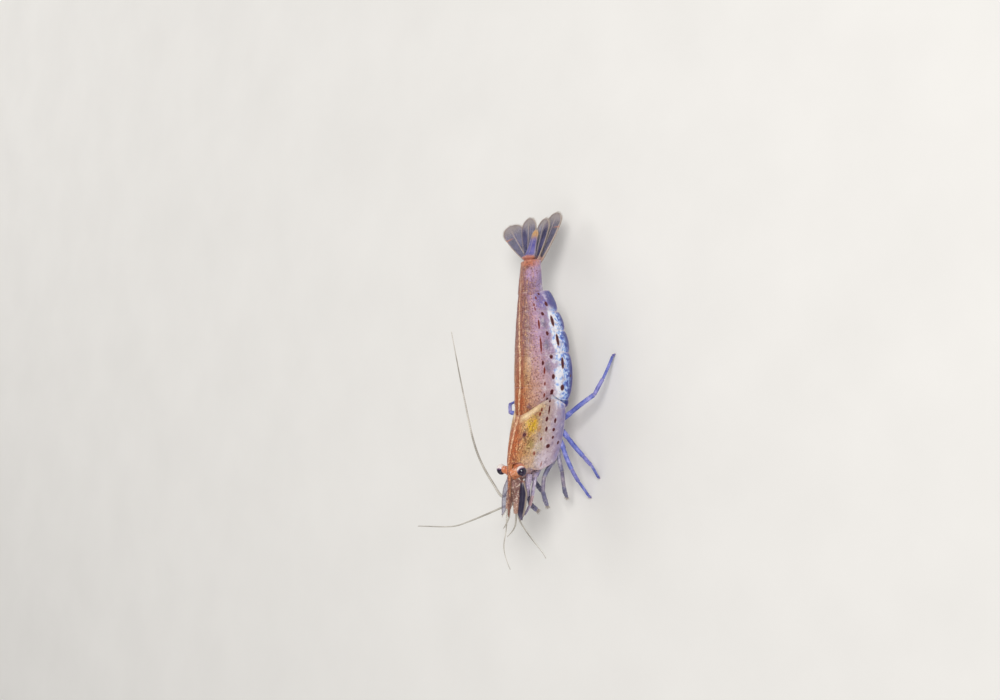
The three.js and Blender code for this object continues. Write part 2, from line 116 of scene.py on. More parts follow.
def unit(vectors):
    return vectors / np.maximum(np.linalg.norm(vectors, axis=-1, keepdims=True), 1e-9)


def sheetFaces(rows, columns, wrap=False):
    i, j = np.meshgrid(np.arange(rows - 1), np.arange(columns if wrap else columns - 1), indexing="ij")
    k = (j + 1) % columns
    quads = np.stack([i * columns + j, i * columns + k, (i + 1) * columns + k, (i + 1) * columns + j], -1)
    return quads.reshape(-1, 4).tolist()


def part(points, faces, **attributes):
    points = np.asarray(points, float).reshape(-1, 3)
    solid = sum(  # six times the volume, to find which way the faces point
        np.dot(points[f[0]] - points[0], np.cross(points[f[i]] - points[0], points[f[i + 1]] - points[0]))
        for f in faces[:: max(1, len(faces) // 4000)]
        for i in range(1, len(f) - 1)
    )
    if solid < 0:
        faces = [f[::-1] for f in faces]
    return {"points": points, "faces": faces, "attributes": attributes}


def tube(path, radii, sides=16, flat=1.0, upward=(0, 0, 1), **attributes):
    # a closed round limb; the two ends run to a point, so radii start and end near nothing
    path, radii = np.asarray(path, float), np.asarray(radii, float)
    forward = unit(np.gradient(path, axis=0))
    across = np.zeros_like(path)
    guide = np.array(upward, float)
    for i, direction in enumerate(forward):
        guide = guide - direction * guide.dot(direction)
        guide = guide / np.linalg.norm(guide)
        across[i] = guide
    third = np.cross(forward, across)
    turn = np.linspace(0, 2 * np.pi, sides, endpoint=False)
    cosine, sine = (np.cos(turn) * flat)[None, :, None], np.sin(turn)[None, :, None]
    ring = across[:, None] * cosine + third[:, None] * sine
    points = path[:, None] + ring * radii[:, None, None]
    count = len(path)
    faces = sheetFaces(count, sides, wrap=True)
    first, last = count * sides, count * sides + 1
    for j in range(sides):
        k = (j + 1) % sides
        faces.append([first, k, j])
        faces.append([last, (count - 1) * sides + j, (count - 1) * sides + k])
    points = np.concatenate([points.reshape(-1, 3), path[:1], path[-1:]])
    spread = {
        key: np.concatenate([np.repeat(value, sides), [value[0], value[-1]]])
        for key, value in attributes.items()
    }
    return part(points, faces, **spread)


def ringBody(rings, **attributes):  # a closed body of rings of points, with a flat face at each end
    rows, sides = rings.shape[:2]
    faces = sheetFaces(rows, sides, wrap=True)
    faces.append(list(range(sides))[::-1])
    faces.append([(rows - 1) * sides + j for j in range(sides)])
    spread = {key: np.broadcast_to(value, (rows, sides)).ravel() for key, value in attributes.items()}
    return part(rings.reshape(-1, 3), faces, **spread)


def shellPart(outer, inner, lip, **attributes):
    # a thin closed wall between two sheets of points, with a rounded rim standing out by lip
    rows, columns = outer.shape[:2]
    count = rows * columns
    faces = sheetFaces(rows, columns) + [[v + count for v in f[::-1]] for f in sheetFaces(rows, columns)]
    index = np.arange(count).reshape(rows, columns)
    loop = np.concatenate([index[0, :-1], index[:-1, -1], index[-1, :0:-1], index[:0:-1, 0]])
    near = np.concatenate([index[1, :-1], index[:-1, -2], index[-2, :0:-1], index[:0:-1, 1]])
    flatOuter, flatInner = outer.reshape(-1, 3), inner.reshape(-1, 3)
    outward = unit(flatOuter[loop] - flatOuter[near])
    edge = (flatOuter[loop] + flatInner[loop]) / 2 + outward * lip
    size = len(loop)
    for a in range(size):
        b = (a + 1) % size
        faces.append([int(loop[b]), int(loop[a]), 2 * count + a, 2 * count + b])
        faces.append([2 * count + b, 2 * count + a, int(loop[a]) + count, int(loop[b]) + count])
    points = np.concatenate([flatOuter, flatInner, edge])
    spread = {}
    for key, value in attributes.items():
        flat = np.broadcast_to(value, (rows, columns)).ravel()
        spread[key] = np.concatenate([flat, flat, flat[loop]])
    return part(points, faces, **spread)


def makePiece(name, parts, material, slotName, *nodeNames):
    names = sorted({key for each in parts for key in each["attributes"]})
    values = {key: [] for key in names}
    points, faces, start = [], [], 0
    for each in parts:
        points.append(each["points"])
        faces.extend([[v + start for v in f] for f in each["faces"]])
        for key in names:
            values[key].append(np.broadcast_to(each["attributes"].get(key, 0.0), len(each["points"])))
        start += len(each["points"])
    mesh = bpy.data.meshes.new(name)
    mesh.from_pydata((np.concatenate(points) * mm).tolist(), [], faces)
    for key in names:
        layer = mesh.attributes.new(key, "FLOAT", "POINT")
        layer.data.foreach_set("value", np.concatenate(values[key]).astype(np.float32))
    mesh.shade_smooth()
    mesh.materials.append(material)
    return dress(bpy.data.objects.new(name, mesh), slotName, *nodeNames)


def dress(piece, slotName, *nodeNames):  # puts a finished piece in the scene and on the body
    if piece.name not in bpy.context.scene.collection.objects:
        bpy.context.scene.collection.objects.link(piece)
    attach(piece, "root")
    if nodeNames:
        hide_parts(*nodeNames)
    return piece


# ---- the body's axis and sections, the same as in the frame ----
body = {
    "standHeight": 7.3,
    "originX": 1.61,
    "originY": 4.78,
    "headYaw": -0.035,
    "tailStart": 0.05,
    "tailEnd": 0.3,
    "tailAt": 14.0,
    "lowest": math.radians(135),  # where the side plates end, from the back's midline
    "carapaceFront": -9.7,
    "rostrumTip": -17.5,
    "abdomenEnd": 20.5,
}
# the abdomen's joints: s on the back, and how far each shifts low on the flank
jointLines = [(1.6, -1.0), (6.2, 0.6), (9.8, 0.2), (12.6, 0.1), (15.5, 0.5)]


def axisY(s):
    s = np.asarray(s, float)
    t = np.clip(s, 0, body["tailAt"])
    bend = (body["tailEnd"] - body["tailStart"]) / body["tailAt"] / 2
    behind = body["tailStart"] * t + bend * t * t + body["tailEnd"] * (np.maximum(s, 0) - t)
    return np.where(s < 0, body["headYaw"] * s, behind)


def axisYaw(s):
    s = np.asarray(s, float)
    slope = body["tailStart"] + (body["tailEnd"] - body["tailStart"]) * np.clip(s / body["tailAt"], 0, 1)
    return np.arctan(body["headYaw"] + (slope - body["headYaw"]) * ease(s, -1.6, 1.6))


def place(s, left, up):
    s, left, up = np.broadcast_arrays(np.asarray(s, float), left, up)
    return np.stack([s - body["originX"], -left - body["originY"], up + body["standHeight"]], -1)


def bodyPoint(s, left, up):
    yaw = axisYaw(s)
    return place(s + left * np.sin(yaw), left * np.cos(yaw) - axisY(s), up)


def carapaceSection(s):
    top = 3.87 - 0.1 * s + 0.16 * np.sin(np.pi * (s + 2.8) / -7)
    return top, np.full_like(top, -3.9), 3.25 - 0.019 * (s + 2.6) ** 2


def pleonSection(s):
    return 4.55 - 0.0107 * (s - 4.2) ** 2, -4.15 + 0.0148 * (s - 4) ** 2, 3.2 - 0.0105 * (s - 3.5) ** 2


def pleonBelly(s):
    return pleonSection(s)[1] + 1.8 - 0.035 * s


def sternum(s):
    return -2.9 + 0.05 * np.maximum(0, -6 - s) ** 2


def jointLine(i, up):  # 0 is the carapace's rear edge, 1 to 5 the abdomen's joints
    up = np.asarray(up, float)
    if i == 0:
        return 0.3 - np.where(up > 0.2, 0.186, 0.1) * (up - 0.2) ** 2
    back, flank = jointLines[i - 1]
    return back + flank * (1 - ease(up, -1.6, 1.8))


def ovalPoint(s, angle, section, lift=0.0):
    top, bottom, half = section
    tall = (top - bottom) / (1 - math.cos(body["lowest"]))
    return bodyPoint(s, (half + lift) * np.sin(angle), top - tall + (tall + lift) * np.cos(angle))


def plateGrid(sectionAt, frontAt, rearAt, lowAt, rows, columns):
    # s and angle of each point of a plate whose edges are curves on the body
    u = np.linspace(0, 1, rows)[:, None]
    v = np.linspace(-1, 1, columns)
    crowded = np.interp(np.abs(v), [0, 0.2, 0.85, 1], [0, 0.32, 0.8, 1])  # closer together on the flanks
    v = (np.sign(v) * crowded)[None, :]
    s = np.zeros((rows, columns)) + (frontAt(1.0) + rearAt(1.0)) / 2
    for _ in range(40):
        top, bottom, half = sectionAt(s)
        tall = (top - bottom) / (1 - math.cos(body["lowest"]))
        lowAngle = np.arccos(np.clip((lowAt(s) - top + tall) / tall, -0.999, 1))
        angle = v * lowAngle
        up = top - tall * (1 - np.cos(angle))
        front, rear = frontAt(up), rearAt(up)
        s = (s + front + u * (rear - front)) / 2
    toLow = (1 - np.abs(v)) * lowAngle * (tall + half) / 2
    return s, angle, toLow, s - front, rear - s


# ---- spots on the shell: place along the body, degrees down from the back, length, width ----
spotRows = {
    "maroon": [
        [(15.25, 72, 0.3, 0.26), (12.21, 69, 0.45, 0.36), (9.39, 72, 0.5, 0.34), (6.11, 75, 0.55, 0.36)],
        [(3.32, 78, 0.6, 0.36), (1.21, 77, 0.6, 0.36), (0.14, 70, 0.5, 0.3)],
        [(13.74, 86, 0.6, 0.4), (11.25, 90, 1.3, 0.42), (8.54, 94, 1.45, 0.42), (5.32, 99, 1.35, 0.42)],
        [(1.89, 99, 0.7, 0.55), (3.65, 123, 0.35, 0.3), (-1.13, 71, 1.1, 0.2), (-2.51, 69, 0.6, 0.3)],
        [(-2.65, 88, 0.6, 0.34), (-4.0, 88, 0.45, 0.36), (-5.16, 90, 0.4, 0.28), (-5.93, 106, 0.5, 0.3)],
        [(-6.5, 84, 0.55, 0.48), (-3.98, 72, 0.65, 0.26), (5.16, 58, 0.55, 0.26), (-5.14, 30, 0.5, 0.5)],
    ],
    "rust": [
        [(13.56, 51, 0.4, 0.16), (12.92, 52, 0.5, 0.14), (10.71, 56, 1.2, 0.2), (7.69, 56, 1.9, 0.2)],
        [(4.11, 61, 0.8, 0.22), (0.71, 62, 0.5, 0.22), (-1.19, 55, 0.45, 0.2), (-1.86, 53, 0.45, 0.24)],
        [(-7.68, 60, 0.65, 0.32), (-9.27, 80, 0.8, 0.28), (-5.48, 66, 0.4, 0.24)],
        [(2.3, 62, 0.4, 0.2), (14.6, 60, 0.4, 0.2)],
    ],
}


def spotMask(ink, s, degrees, girth):
    mask = np.zeros_like(s)
    for row in spotRows[ink]:
        for at, turn, long, wide in row:
            around = (degrees - turn) * math.pi / 180 * girth
            mask = np.maximum(mask, 1 - ease(np.hypot((s - at) / long, around / wide), 0.25, 0.85))
    return mask * (1 - 0.45 * ease(-s, 7, 7.2) - 0.17 * ease(-s, 8.4, 8.8))  # faint near the face


def midline(s, degrees):  # the line along the back leans to the left over the abdomen
    return np.abs(degrees - 6 * np.exp(-(((s - 4) / 6) ** 2)) + 7 * ease(s, 15, 19))


def bodyAttributes(s, angle, section, toLow, toFront, toRear, rimWidth=0.13):
    degrees = np.degrees(np.abs(angle))
    girth = (section[2] + (section[0] - section[1]) / (1 - math.cos(body["lowest"]))) / 2
    rim = np.exp(-((toLow / rimWidth) ** 2)) + 0.8 * np.exp(-((toRear / rimWidth) ** 2))
    return {
        "along": s,
        "turn": degrees,
        "midline": midline(s, np.degrees(angle)),
        "rim": np.clip(rim + 0.6 * np.exp(-((toFront / rimWidth) ** 2)), 0, 1),
        **{ink: spotMask(ink, s, degrees, girth) for ink in spotRows},
    }


# ---- camera, lamps, floor ----
view = {"tilt": math.radians(42), "roll": math.radians(5), "distance": 207.0, "lens": 50, "sensor": 36}


def addCamera():
    # looks down on the animal's left side, turned so that the head points down in the frame
    tilt, roll = view["tilt"], view["roll"]
    down = np.array([0, -math.sin(tilt), -math.cos(tilt)])
    tail = np.array([1.0, 0, 0])
    back = np.array([0, -math.cos(tilt), math.sin(tilt)])
    right = math.cos(roll) * down + math.sin(roll) * tail
    upward = -math.sin(roll) * down + math.cos(roll) * tail
    target = place(0, 0, 0) - 5.95 * right + 7.44 * upward
    camera = bpy.data.objects.new("camera", bpy.data.cameras.new("camera"))
    camera.data.lens, camera.data.sensor_width = view["lens"], view["sensor"]
    camera.data.clip_start = 0.01
    bpy.context.scene.collection.objects.link(camera)
    where = (target + view["distance"] * back) * mm
    matrix = np.eye(4)
    matrix[:3, 0], matrix[:3, 1], matrix[:3, 2], matrix[:3, 3] = right, upward, back, where
    camera.matrix_world = Matrix(matrix.tolist())
    bpy.context.scene.camera = camera


addCamera()

studio = {
    "sky": 0.36,  # level of the soft light from all sides
    "lamps": {  # place in metres, edge of the square lamp, share of the plain level
        "key": ((0.16, -0.24, 0.36), 0.2, 0.58),
        "fill": ((-0.3, -0.12, 0.26), 0.3, 0.14),
        "back": ((0.12, 0.3, 0.24), 0.22, 0.22),
    },
    "floor": ("#ebe8e3", "#efece7"),
    "floorReach": 2.0,
}


def addStudio():
    world = bpy.data.worlds.new("studio")
    world.use_nodes = True
    world.node_tree.nodes.clear()
    sky = addNode(world.node_tree, "ShaderNodeBackground", {"Color": "#ffffff", "Strength": studio["sky"]})
    addNode(world.node_tree, "ShaderNodeOutputWorld", {"Surface": sky})
    bpy.context.scene.world = world
    for name, (where, edge, share) in studio["lamps"].items():
        lamp = bpy.data.objects.new(name, bpy.data.lights.new(name, "AREA"))
        lamp.data.shape, lamp.data.size = "SQUARE", edge
        lamp.location = where
        toward = -Vector(where)
        lamp.rotation_euler = toward.to_track_quat("-Z", "Y").to_euler()
        # a share of the power that lights matt white at the origin to plain white
        lamp.data.energy = share * math.pi**2 * toward.length**2
        bpy.context.scene.collection.objects.link(lamp)
    bpy.context.scene.view_settings.view_transform = "Standard"


def addFloor():
    # sealed plaster board: matt, nearly white, a faint mottle
    material, tree, spot = newMaterial("sealedPlaster")
    mottle = addNode(tree, "ShaderNodeTexNoise", {"Vector": spot, "Scale": 60.0, "Detail": 4.0})
    tint = setStops(addNode(tree, "ShaderNodeValToRGB", {"Fac": mottle}), zip((0.3, 0.7), studio["floor"]))
    shader = addNode(
        tree, "ShaderNodeBsdfPrincipled", {"Base Color": tint, "Roughness": 0.75, "Specular IOR Level": 0.25}
    )
    mesh = bpy.data.meshes.new("floor")
    far = studio["floorReach"]
    corners = [(-far, -far, 0), (far, -far, 0), (far, far, 0), (-far, far, 0)]
    mesh.from_pydata(corners, [], [[0, 1, 2, 3]])
    mesh.materials.append(finishMaterial(material, shader))
    floor = bpy.data.objects.new("floor", mesh)
    bpy.context.scene.collection.objects.link(floor)


addStudio()
addFloor()
print("camera, lamps and floor done")


# ---- materials ----
def layPigment(tree, colour, pattern, reach, code, *veils):
    # tints the colour where a pattern rises through reach (from, to, least, most), thinned by each veil
    mask = addNode(tree, "ShaderNodeMapRange", {0: pattern, **dict(enumerate(reach, 1))})
    for veil in veils:
        mask = addNode(tree, "ShaderNodeMath", {0: mask, 1: veil}, operation="MULTIPLY")
    return addNode(tree, "ShaderNodeMix", {"Factor": mask, "A": colour, "B": code}, data_type="RGBA")


# sizes of the shell's patterns in millimetres: drifts of colour, clumps, grain, clouds on the flank,
# pigment cells, gold flecks and the lumps of the painted sheen
shellGrain = {
    "blot": 1.1, "clump": 0.6, "grit": 0.22, "cloud": 0.9, "cell": 0.3, "fleck": 0.31, "paintedSheen": 0.42
}
lowest = math.degrees(body["lowest"])


def cuticle(name, frontStops, rearStops, change, gold, patches):
    # Shrimp shell is thin clear chitin over tinted flesh: a damp surface, colour that seems to lie
    # just under it, and clear margins where there is no flesh behind.
    material, tree, spot = newMaterial(name)
    along, turn, rim, hem, midline = (
        addNode(tree, "ShaderNodeAttribute", attribute_name=each).outputs["Fac"]
        for each in ("along", "turn", "rim", "hem", "midline")
    )
    scale = {key: 1 / (size * mm) for key, size in shellGrain.items()}
    blot, clump, grit = (
        addNode(tree, "ShaderNodeTexNoise", {"Vector": spot, "Scale": scale[key], "Detail": 3.0})
        for key in ("blot", "clump", "grit")
    )
    warp = addNode(
        tree, "ShaderNodeVectorMath", {0: clump.outputs["Color"], 1: (0.45 * mm,) * 3, 2: spot},
        operation="MULTIPLY_ADD",
    )
    shift = addNode(tree, "ShaderNodeMath", {0: blot, 1: 26.0, 2: -13.0}, operation="MULTIPLY_ADD")
    turned = addNode(tree, "ShaderNodeMath", {0: turn, 1: shift}, operation="ADD")
    share = addNode(tree, "ShaderNodeMath", {0: turned, 1: lowest}, operation="DIVIDE")
    front, rear = (
        setStops(
            addNode(tree, "ShaderNodeValToRGB", {"Fac": share}), [(at / lowest, code) for at, code in stops]
        )
        for stops in (frontStops, rearStops)
    )
    behind = addNode(tree, "ShaderNodeMapRange", {0: along, 1: change[0], 2: change[1]})
    colour = addNode(tree, "ShaderNodeMix", {"Factor": behind, "A": front, "B": rear}, data_type="RGBA")
    # soft patches of colour where organs and pigment show through, with ragged edges
    ragged = addNode(tree, "ShaderNodeMath", {0: clump, 1: 1.5, 2: -0.75}, operation="MULTIPLY_ADD")
    for s, long, degrees, wide, code, strength in patches:
        distance = ragged
        for across, at, half in ((along, s, long), (turn, degrees, wide)):
            ends = {0: across, 1: at - half, 2: at + half, 3: -1.0, 4: 1.0}
            share = addNode(tree, "ShaderNodeMapRange", ends, clamp=False)
            squared = {0: share, 1: share, 2: distance}
            distance = addNode(tree, "ShaderNodeMath", squared, operation="MULTIPLY_ADD")
        colour = layPigment(tree, colour, distance, (1.0, 0.1, 0.0, strength), code)
    # clouds of pale and of dusky pigment low on the flank
    cloud = addNode(
        tree, "ShaderNodeTexNoise",
        {"Vector": warp, "Scale": scale["cloud"], "Detail": 4.0, "Roughness": 0.65},
    )
    low = addNode(tree, "ShaderNodeMapRange", {0: turned, 1: 44.0, 2: 72.0})
    hemward = addNode(tree, "ShaderNodeMapRange", {0: turned, 1: 116.0, 2: 98.0, 3: 0.15, 4: 1.0})
    low = addNode(tree, "ShaderNodeMath", {0: low, 1: hemward}, operation="MULTIPLY")
    for reach, code in (((0.53, 0.68), "#e6dce4"), ((0.47, 0.34), "#8d7488")):
        colour = layPigment(tree, colour, cloud, (*reach, 0.0, 0.7), code, low)
    # brown stipple of pigment cells, about 0.3 mm apart, thick on the back and sparse on the flank
    upper = addNode(tree, "ShaderNodeMapRange", {0: turned, 1: 84.0, 2: 48.0, 3: 0.1, 4: 1.0})
    clumped = addNode(tree, "ShaderNodeMapRange", {0: clump, 1: 0.36, 2: 0.58, 3: 0.4, 4: 1.0})
    cells = addNode(tree, "ShaderNodeTexVoronoi", {"Vector": warp, "Scale": scale["cell"]})
    broken = addNode(tree, "ShaderNodeMath", {0: grit, 1: 0.9, 2: cells}, operation="MULTIPLY_ADD")
    colour = layPigment(tree, colour, broken, (0.94, 0.66, 0.0, 0.8), "#5c2a20", clumped, upper)
    colour = layPigment(tree, colour, grit, (0.42, 0.62, 0.0, 0.34), "#6b4440", upper)
    # short dashes, dark and bright, in rows along the back
    drawn = addNode(tree, "ShaderNodeVectorMath", {0: along, 1: (0.9, 0.0, 0.0)}, operation="MULTIPLY")
    drawn = addNode(
        tree, "ShaderNodeVectorMath", {0: turn, 1: (0.0, 0.3, 0.0), 2: drawn}, operation="MULTIPLY_ADD"
    )
    dashes = addNode(tree, "ShaderNodeTexNoise", {"Vector": drawn, "Scale": 1.0, "Detail": 2.0})
    back = addNode(tree, "ShaderNodeMapRange", {0: turned, 1: 56.0, 2: 34.0})
    for reach, code in (((0.54, 0.66), "#7a3c26"), ((0.46, 0.34), "#eaa672")):
        colour = layPigment(tree, colour, dashes, (*reach, 0.0, gold * 0.75), code, back)
    # flecks of gold and cream
    flecks = addNode(tree, "ShaderNodeTexVoronoi", {"Vector": warp, "Scale": scale["fleck"]})
    chipped = addNode(tree, "ShaderNodeMath", {0: grit, 1: -0.7, 2: flecks}, operation="MULTIPLY_ADD")
    sparse = addNode(tree, "ShaderNodeMapRange", {0: blot, 1: 0.38, 2: 0.54})
    colour = layPigment(tree, colour, chipped, (0.02, -0.24, 0.0, gold), "#f3c88e", sparse, upper)
    # cream band along the carapace's rear edge
    colour = layPigment(tree, colour, clump, (0.3, 0.6, 0.45, 1.0), "#f2d2a6", hem)
    # the broken pale line along the back, with a painted brown shadow on each side of it
    waver = addNode(tree, "ShaderNodeMath", {0: clump, 1: 6.0, 2: midline}, operation="MULTIPLY_ADD")
    lineBreak = addNode(tree, "ShaderNodeMapRange", {0: grit, 1: 0.42, 2: 0.6, 3: 0.25, 4: 1.0})
    fading = addNode(tree, "ShaderNodeMapRange", {0: along, 1: 9.0, 2: 15.0, 3: 1.0, 4: 0.35})
    colour = layPigment(tree, colour, waver, (17.0, 10.5, 0.0, 0.5), "#93492a", clumped)
    colour = layPigment(tree, colour, waver, (6.8, 4.6, 0.0, 1.0), "#f4cba0", lineBreak, fading)
    # a painted sheen: a band of white and pale blue reflection in lumps low on the flanks, dark blue toward its foot
    sheenLumps = addNode(
        tree, "ShaderNodeTexVoronoi", {"Vector": warp, "Scale": scale["paintedSheen"]}, feature="SMOOTH_F1"
    )
    sheenLump = addNode(tree, "ShaderNodeMapRange", {0: sheenLumps, 1: 0.75, 2: 0.3, 3: 0.3, 4: 1.0})
    sheenLimits = [  # its top, foot, front and rear
        addNode(tree, "ShaderNodeMapRange", {0: across, 1: outside, 2: inside})
        for across, outside, inside in (
            (turned, 79.0, 86.0), (turned, 127.0, 112.0), (along, -1.2, 0.4), (along, 13.7, 12.4)
        )
    ]
    lower = addNode(tree, "ShaderNodeMapRange", {0: turned, 1: 92.0, 2: 118.0, 3: 0.0, 4: 0.62})
    bright = addNode(tree, "ShaderNodeMath", {0: sheenLump, 1: lower}, operation="SUBTRACT")
    frosted = addNode(tree, "ShaderNodeMapRange", {0: grit, 1: 0.35, 2: 0.65, 3: -0.16, 4: 0.16})
    bright = addNode(tree, "ShaderNodeMath", {0: bright, 1: frosted}, operation="ADD", use_clamp=True)
    paintedSheen = setStops(
        addNode(tree, "ShaderNodeValToRGB", {"Fac": bright}),
        [(0, "#4254ae"), (0.26, "#7c9ae6"), (0.5, "#b4d0fa"), (0.74, "#f6f4fb")],
    )
    # the painted sheen is laid over the shell colour inside its top, foot, front and rear
    colour = layPigment(tree, colour, blot, (0.34, 0.5, 0.45, 1.0), paintedSheen, *sheenLimits)
    # spots of rusty and of dark pigment
    for ink, halo, core in (("rust", "#ac5a44", "#74241a"), ("maroon", "#a04a40", "#4c0210")):
        inked = addNode(tree, "ShaderNodeAttribute", attribute_name=ink).outputs["Fac"]
        frayed = addNode(tree, "ShaderNodeMath", {0: grit, 1: 0.7, 2: inked}, operation="MULTIPLY_ADD")
        colour = layPigment(tree, colour, frayed, (0.48, 0.74, 0.0, 0.6), halo)
        colour = layPigment(tree, colour, frayed, (0.66, 0.92, 0.0, 1.0), core)
    # cream line along each plate's edge, faint on the back
    flank = addNode(tree, "ShaderNodeMapRange", {0: turn, 1: 40.0, 2: 100.0, 3: 0.12, 4: 0.75})
    rimmed = addNode(tree, "ShaderNodeMath", {0: rim, 1: flank}, operation="MULTIPLY")
    colour = addNode(tree, "ShaderNodeMix", {"Factor": rimmed, "A": colour, "B": "#d6c6cc"}, data_type="RGBA")
    clear = addNode(tree, "ShaderNodeMapRange", {0: turn, 1: 116.0, 2: 132.0, 3: 1.0, 4: 0.84})
    solid = addNode(tree, "ShaderNodeMath", {0: clear, 1: rimmed}, operation="ADD", use_clamp=True)
    pits = addNode(tree, "ShaderNodeBump", {"Strength": 0.35, "Distance": 0.04 * mm, "Height": grit})
    bump = addNode(
        tree, "ShaderNodeBump", {"Strength": 0.3, "Distance": 0.12 * mm, "Height": clump, "Normal": pits}
    )
    rough = addNode(tree, "ShaderNodeMapRange", {0: clump, 1: 0.3, 2: 0.7, 3: 0.3, 4: 0.5})
    shader = addNode(
        tree, "ShaderNodeBsdfPrincipled",
        {"Base Color": colour, "Roughness": rough, "Alpha": solid, "Normal": bump, "IOR": 1.45,
         "Specular IOR Level": 0.4, "Subsurface Weight": 0.12, "Subsurface Scale": 0.6 * mm,
         "Subsurface Radius": (1.0, 0.6, 0.45), "Coat Weight": 0.12, "Coat Roughness": 0.2},
    )
    return finishMaterial(material, shader)


# each shell: colours by degrees down from the back, in front and behind, the s where one gives way to the
# other, the strength of the gold, and patches as s, half length, degrees, half width, colour and strength
carapaceCuticle = cuticle(
    "carapaceCuticle",
    [(0, "#d0744a"), (14, "#bd653a"), (26, "#be7a46"), (40, "#cb9f68"), (54, "#d6b38e"), (68, "#cdb6aa"),
     (92, "#c4acb6"), (118, "#a79cc2")],
    [(0, "#c8764a"), (18, "#c08c58"), (34, "#b58e50"), (52, "#b89670"), (64, "#c0a89a"), (80, "#bba3a8"),
     (98, "#ab9ebc"), (120, "#605fa0")],
    (-6.4, -3.6), 0.9,
    [
        (-3.7, 1.7, 39, 18, "#dbae1c", 1.0),
        (-3.9, 0.9, 58, 4, "#c08430", 0.7),
        (-5.1, 1.2, 32, 9, "#6b4530", 0.85),
        (-6.4, 1.2, 47, 10, "#a28e48", 0.7),
        (-6.8, 1.0, 66, 10, "#ccc0a8", 0.5),
        (-7.2, 3.2, 6, 16, "#c9652f", 0.75),
        (-8.8, 0.8, 16, 8, "#7f4634", 0.6),
        (-9.9, 1.0, 10, 34, "#e08650", 0.9),
        (-9.0, 1.2, 50, 18, "#dcb294", 0.8),
        (-8.7, 1.7, 82, 20, "#dccad6", 0.85),
        (-11.3, 1.4, 30, 200, "#da855a", 0.85),
        (-15.6, 4.4, 30, 200, "#94706a", 1.0),
    ],
)
pleonCuticle = cuticle(
    "pleonCuticle",
    [(0, "#b5653c"), (12, "#bf7448"), (26, "#bb7c52"), (40, "#cb9a86"), (56, "#cba2a2"), (74, "#bd9fac"),
     (92, "#a69cb8"), (114, "#2f3e98")],
    [(0, "#a07468"), (14, "#94686a"), (26, "#906660"), (38, "#b690a4"), (50, "#caa4c0"), (64, "#b394b2"),
     (88, "#a699c0"), (114, "#434c94")],
    (1.5, 8.5), 0.5,
    [
        (4.2, 3.4, 25, 12, "#c09260", 0.75),
        (-0.8, 1.9, 10, 16, "#b85628", 0.7),
        (-0.9, 0.55, 32, 9, "#7b5566", 0.8),
        (14.4, 1.7, 74, 24, "#786ab2", 0.95),
        (14.2, 1.7, 106, 17, "#484a90", 0.9),
        (17.0, 3.0, 62, 34, "#8c7cac", 0.85),
        (16.8, 2.0, 32, 22, "#94768f", 0.8),
        (18.4, 1.5, 34, 28, "#bd9dc4", 0.9),
        (20.5, 1.2, 26, 46, "#d07c58", 0.8),
        (10.9, 0.9, 67, 9, "#7a7490", 0.85),
        (7.7, 1.0, 68, 9, "#7d7692", 0.85),
        (4.7, 0.9, 68, 9, "#857b92", 0.8),
    ],
)


# sizes of the limbs' patterns in millimetres
limbGrain = {"streak": 1.6, "small": 0.5, "speck": 0.24, "fleck": 0.29, "grain": 0.16}


def limbCuticle(name, tone, jointTone, ink, alpha, fleck=0.0):
    # thin clear tube of cuticle over tinted muscle; the soft joints are paler
    material, tree, spot = newMaterial(name)
    joint, warm = (
        addNode(tree, "ShaderNodeAttribute", attribute_name=each).outputs["Fac"]
        for each in ("joint", "warm")
    )
    scale = {key: 1 / (size * mm) for key, size in limbGrain.items()}
    streak = addNode(
        tree, "ShaderNodeTexNoise",
        {"Vector": spot, "Scale": scale["streak"], "Detail": 4.0, "Roughness": 0.7},
    )
    shade = setStops(addNode(tree, "ShaderNodeValToRGB", {"Fac": streak}), zip((0.32, 0.49, 0.66), tone))
    soft = addNode(tree, "ShaderNodeMath", {0: joint, 1: 0.75}, operation="MULTIPLY")
    jointed = addNode(tree, "ShaderNodeMix", {"Factor": soft, "A": shade, "B": jointTone}, data_type="RGBA")
    colour = addNode(tree, "ShaderNodeMix", {"Factor": warm, "A": jointed, "B": "#b9703c"}, data_type="RGBA")
    small = addNode(tree, "ShaderNodeTexNoise", {"Vector": spot, "Scale": scale["small"], "Detail": 3.0})
    warp = addNode(
        tree, "ShaderNodeVectorMath", {0: small.outputs["Color"], 1: (0.4 * mm,) * 3, 2: spot},
        operation="MULTIPLY_ADD",
    )
    speck = addNode(tree, "ShaderNodeTexVoronoi", {"Vector": warp, "Scale": scale["speck"]})
    colour = layPigment(tree, colour, speck, (0.42, 0.12, 0.0, 0.3 + fleck / 2), ink)
    pale = addNode(tree, "ShaderNodeTexVoronoi", {"Vector": warp, "Scale": scale["fleck"]})
    chipped = addNode(tree, "ShaderNodeMath", {0: small, 1: -0.7, 2: pale}, operation="MULTIPLY_ADD")
    colour = layPigment(tree, colour, chipped, (0.06, -0.14, 0.0, fleck), "#f6dfcc")
    grain = addNode(tree, "ShaderNodeTexNoise", {"Vector": spot, "Scale": scale["grain"], "Detail": 2.0})
    bump = addNode(tree, "ShaderNodeBump", {"Strength": 0.3, "Distance": 0.03 * mm, "Height": grain})
    shader = addNode(
        tree, "ShaderNodeBsdfPrincipled",
        {"Base Color": colour, "Roughness": 0.32, "Alpha": alpha, "Normal": bump, "IOR": 1.45,
         "Specular IOR Level": 0.4, "Subsurface Weight": 0.12, "Subsurface Scale": 0.4 * mm,
         "Subsurface Radius": (0.8, 0.7, 1.0), "Coat Weight": 0.2, "Coat Roughness": 0.12},
    )
    return finishMaterial(material, shader)


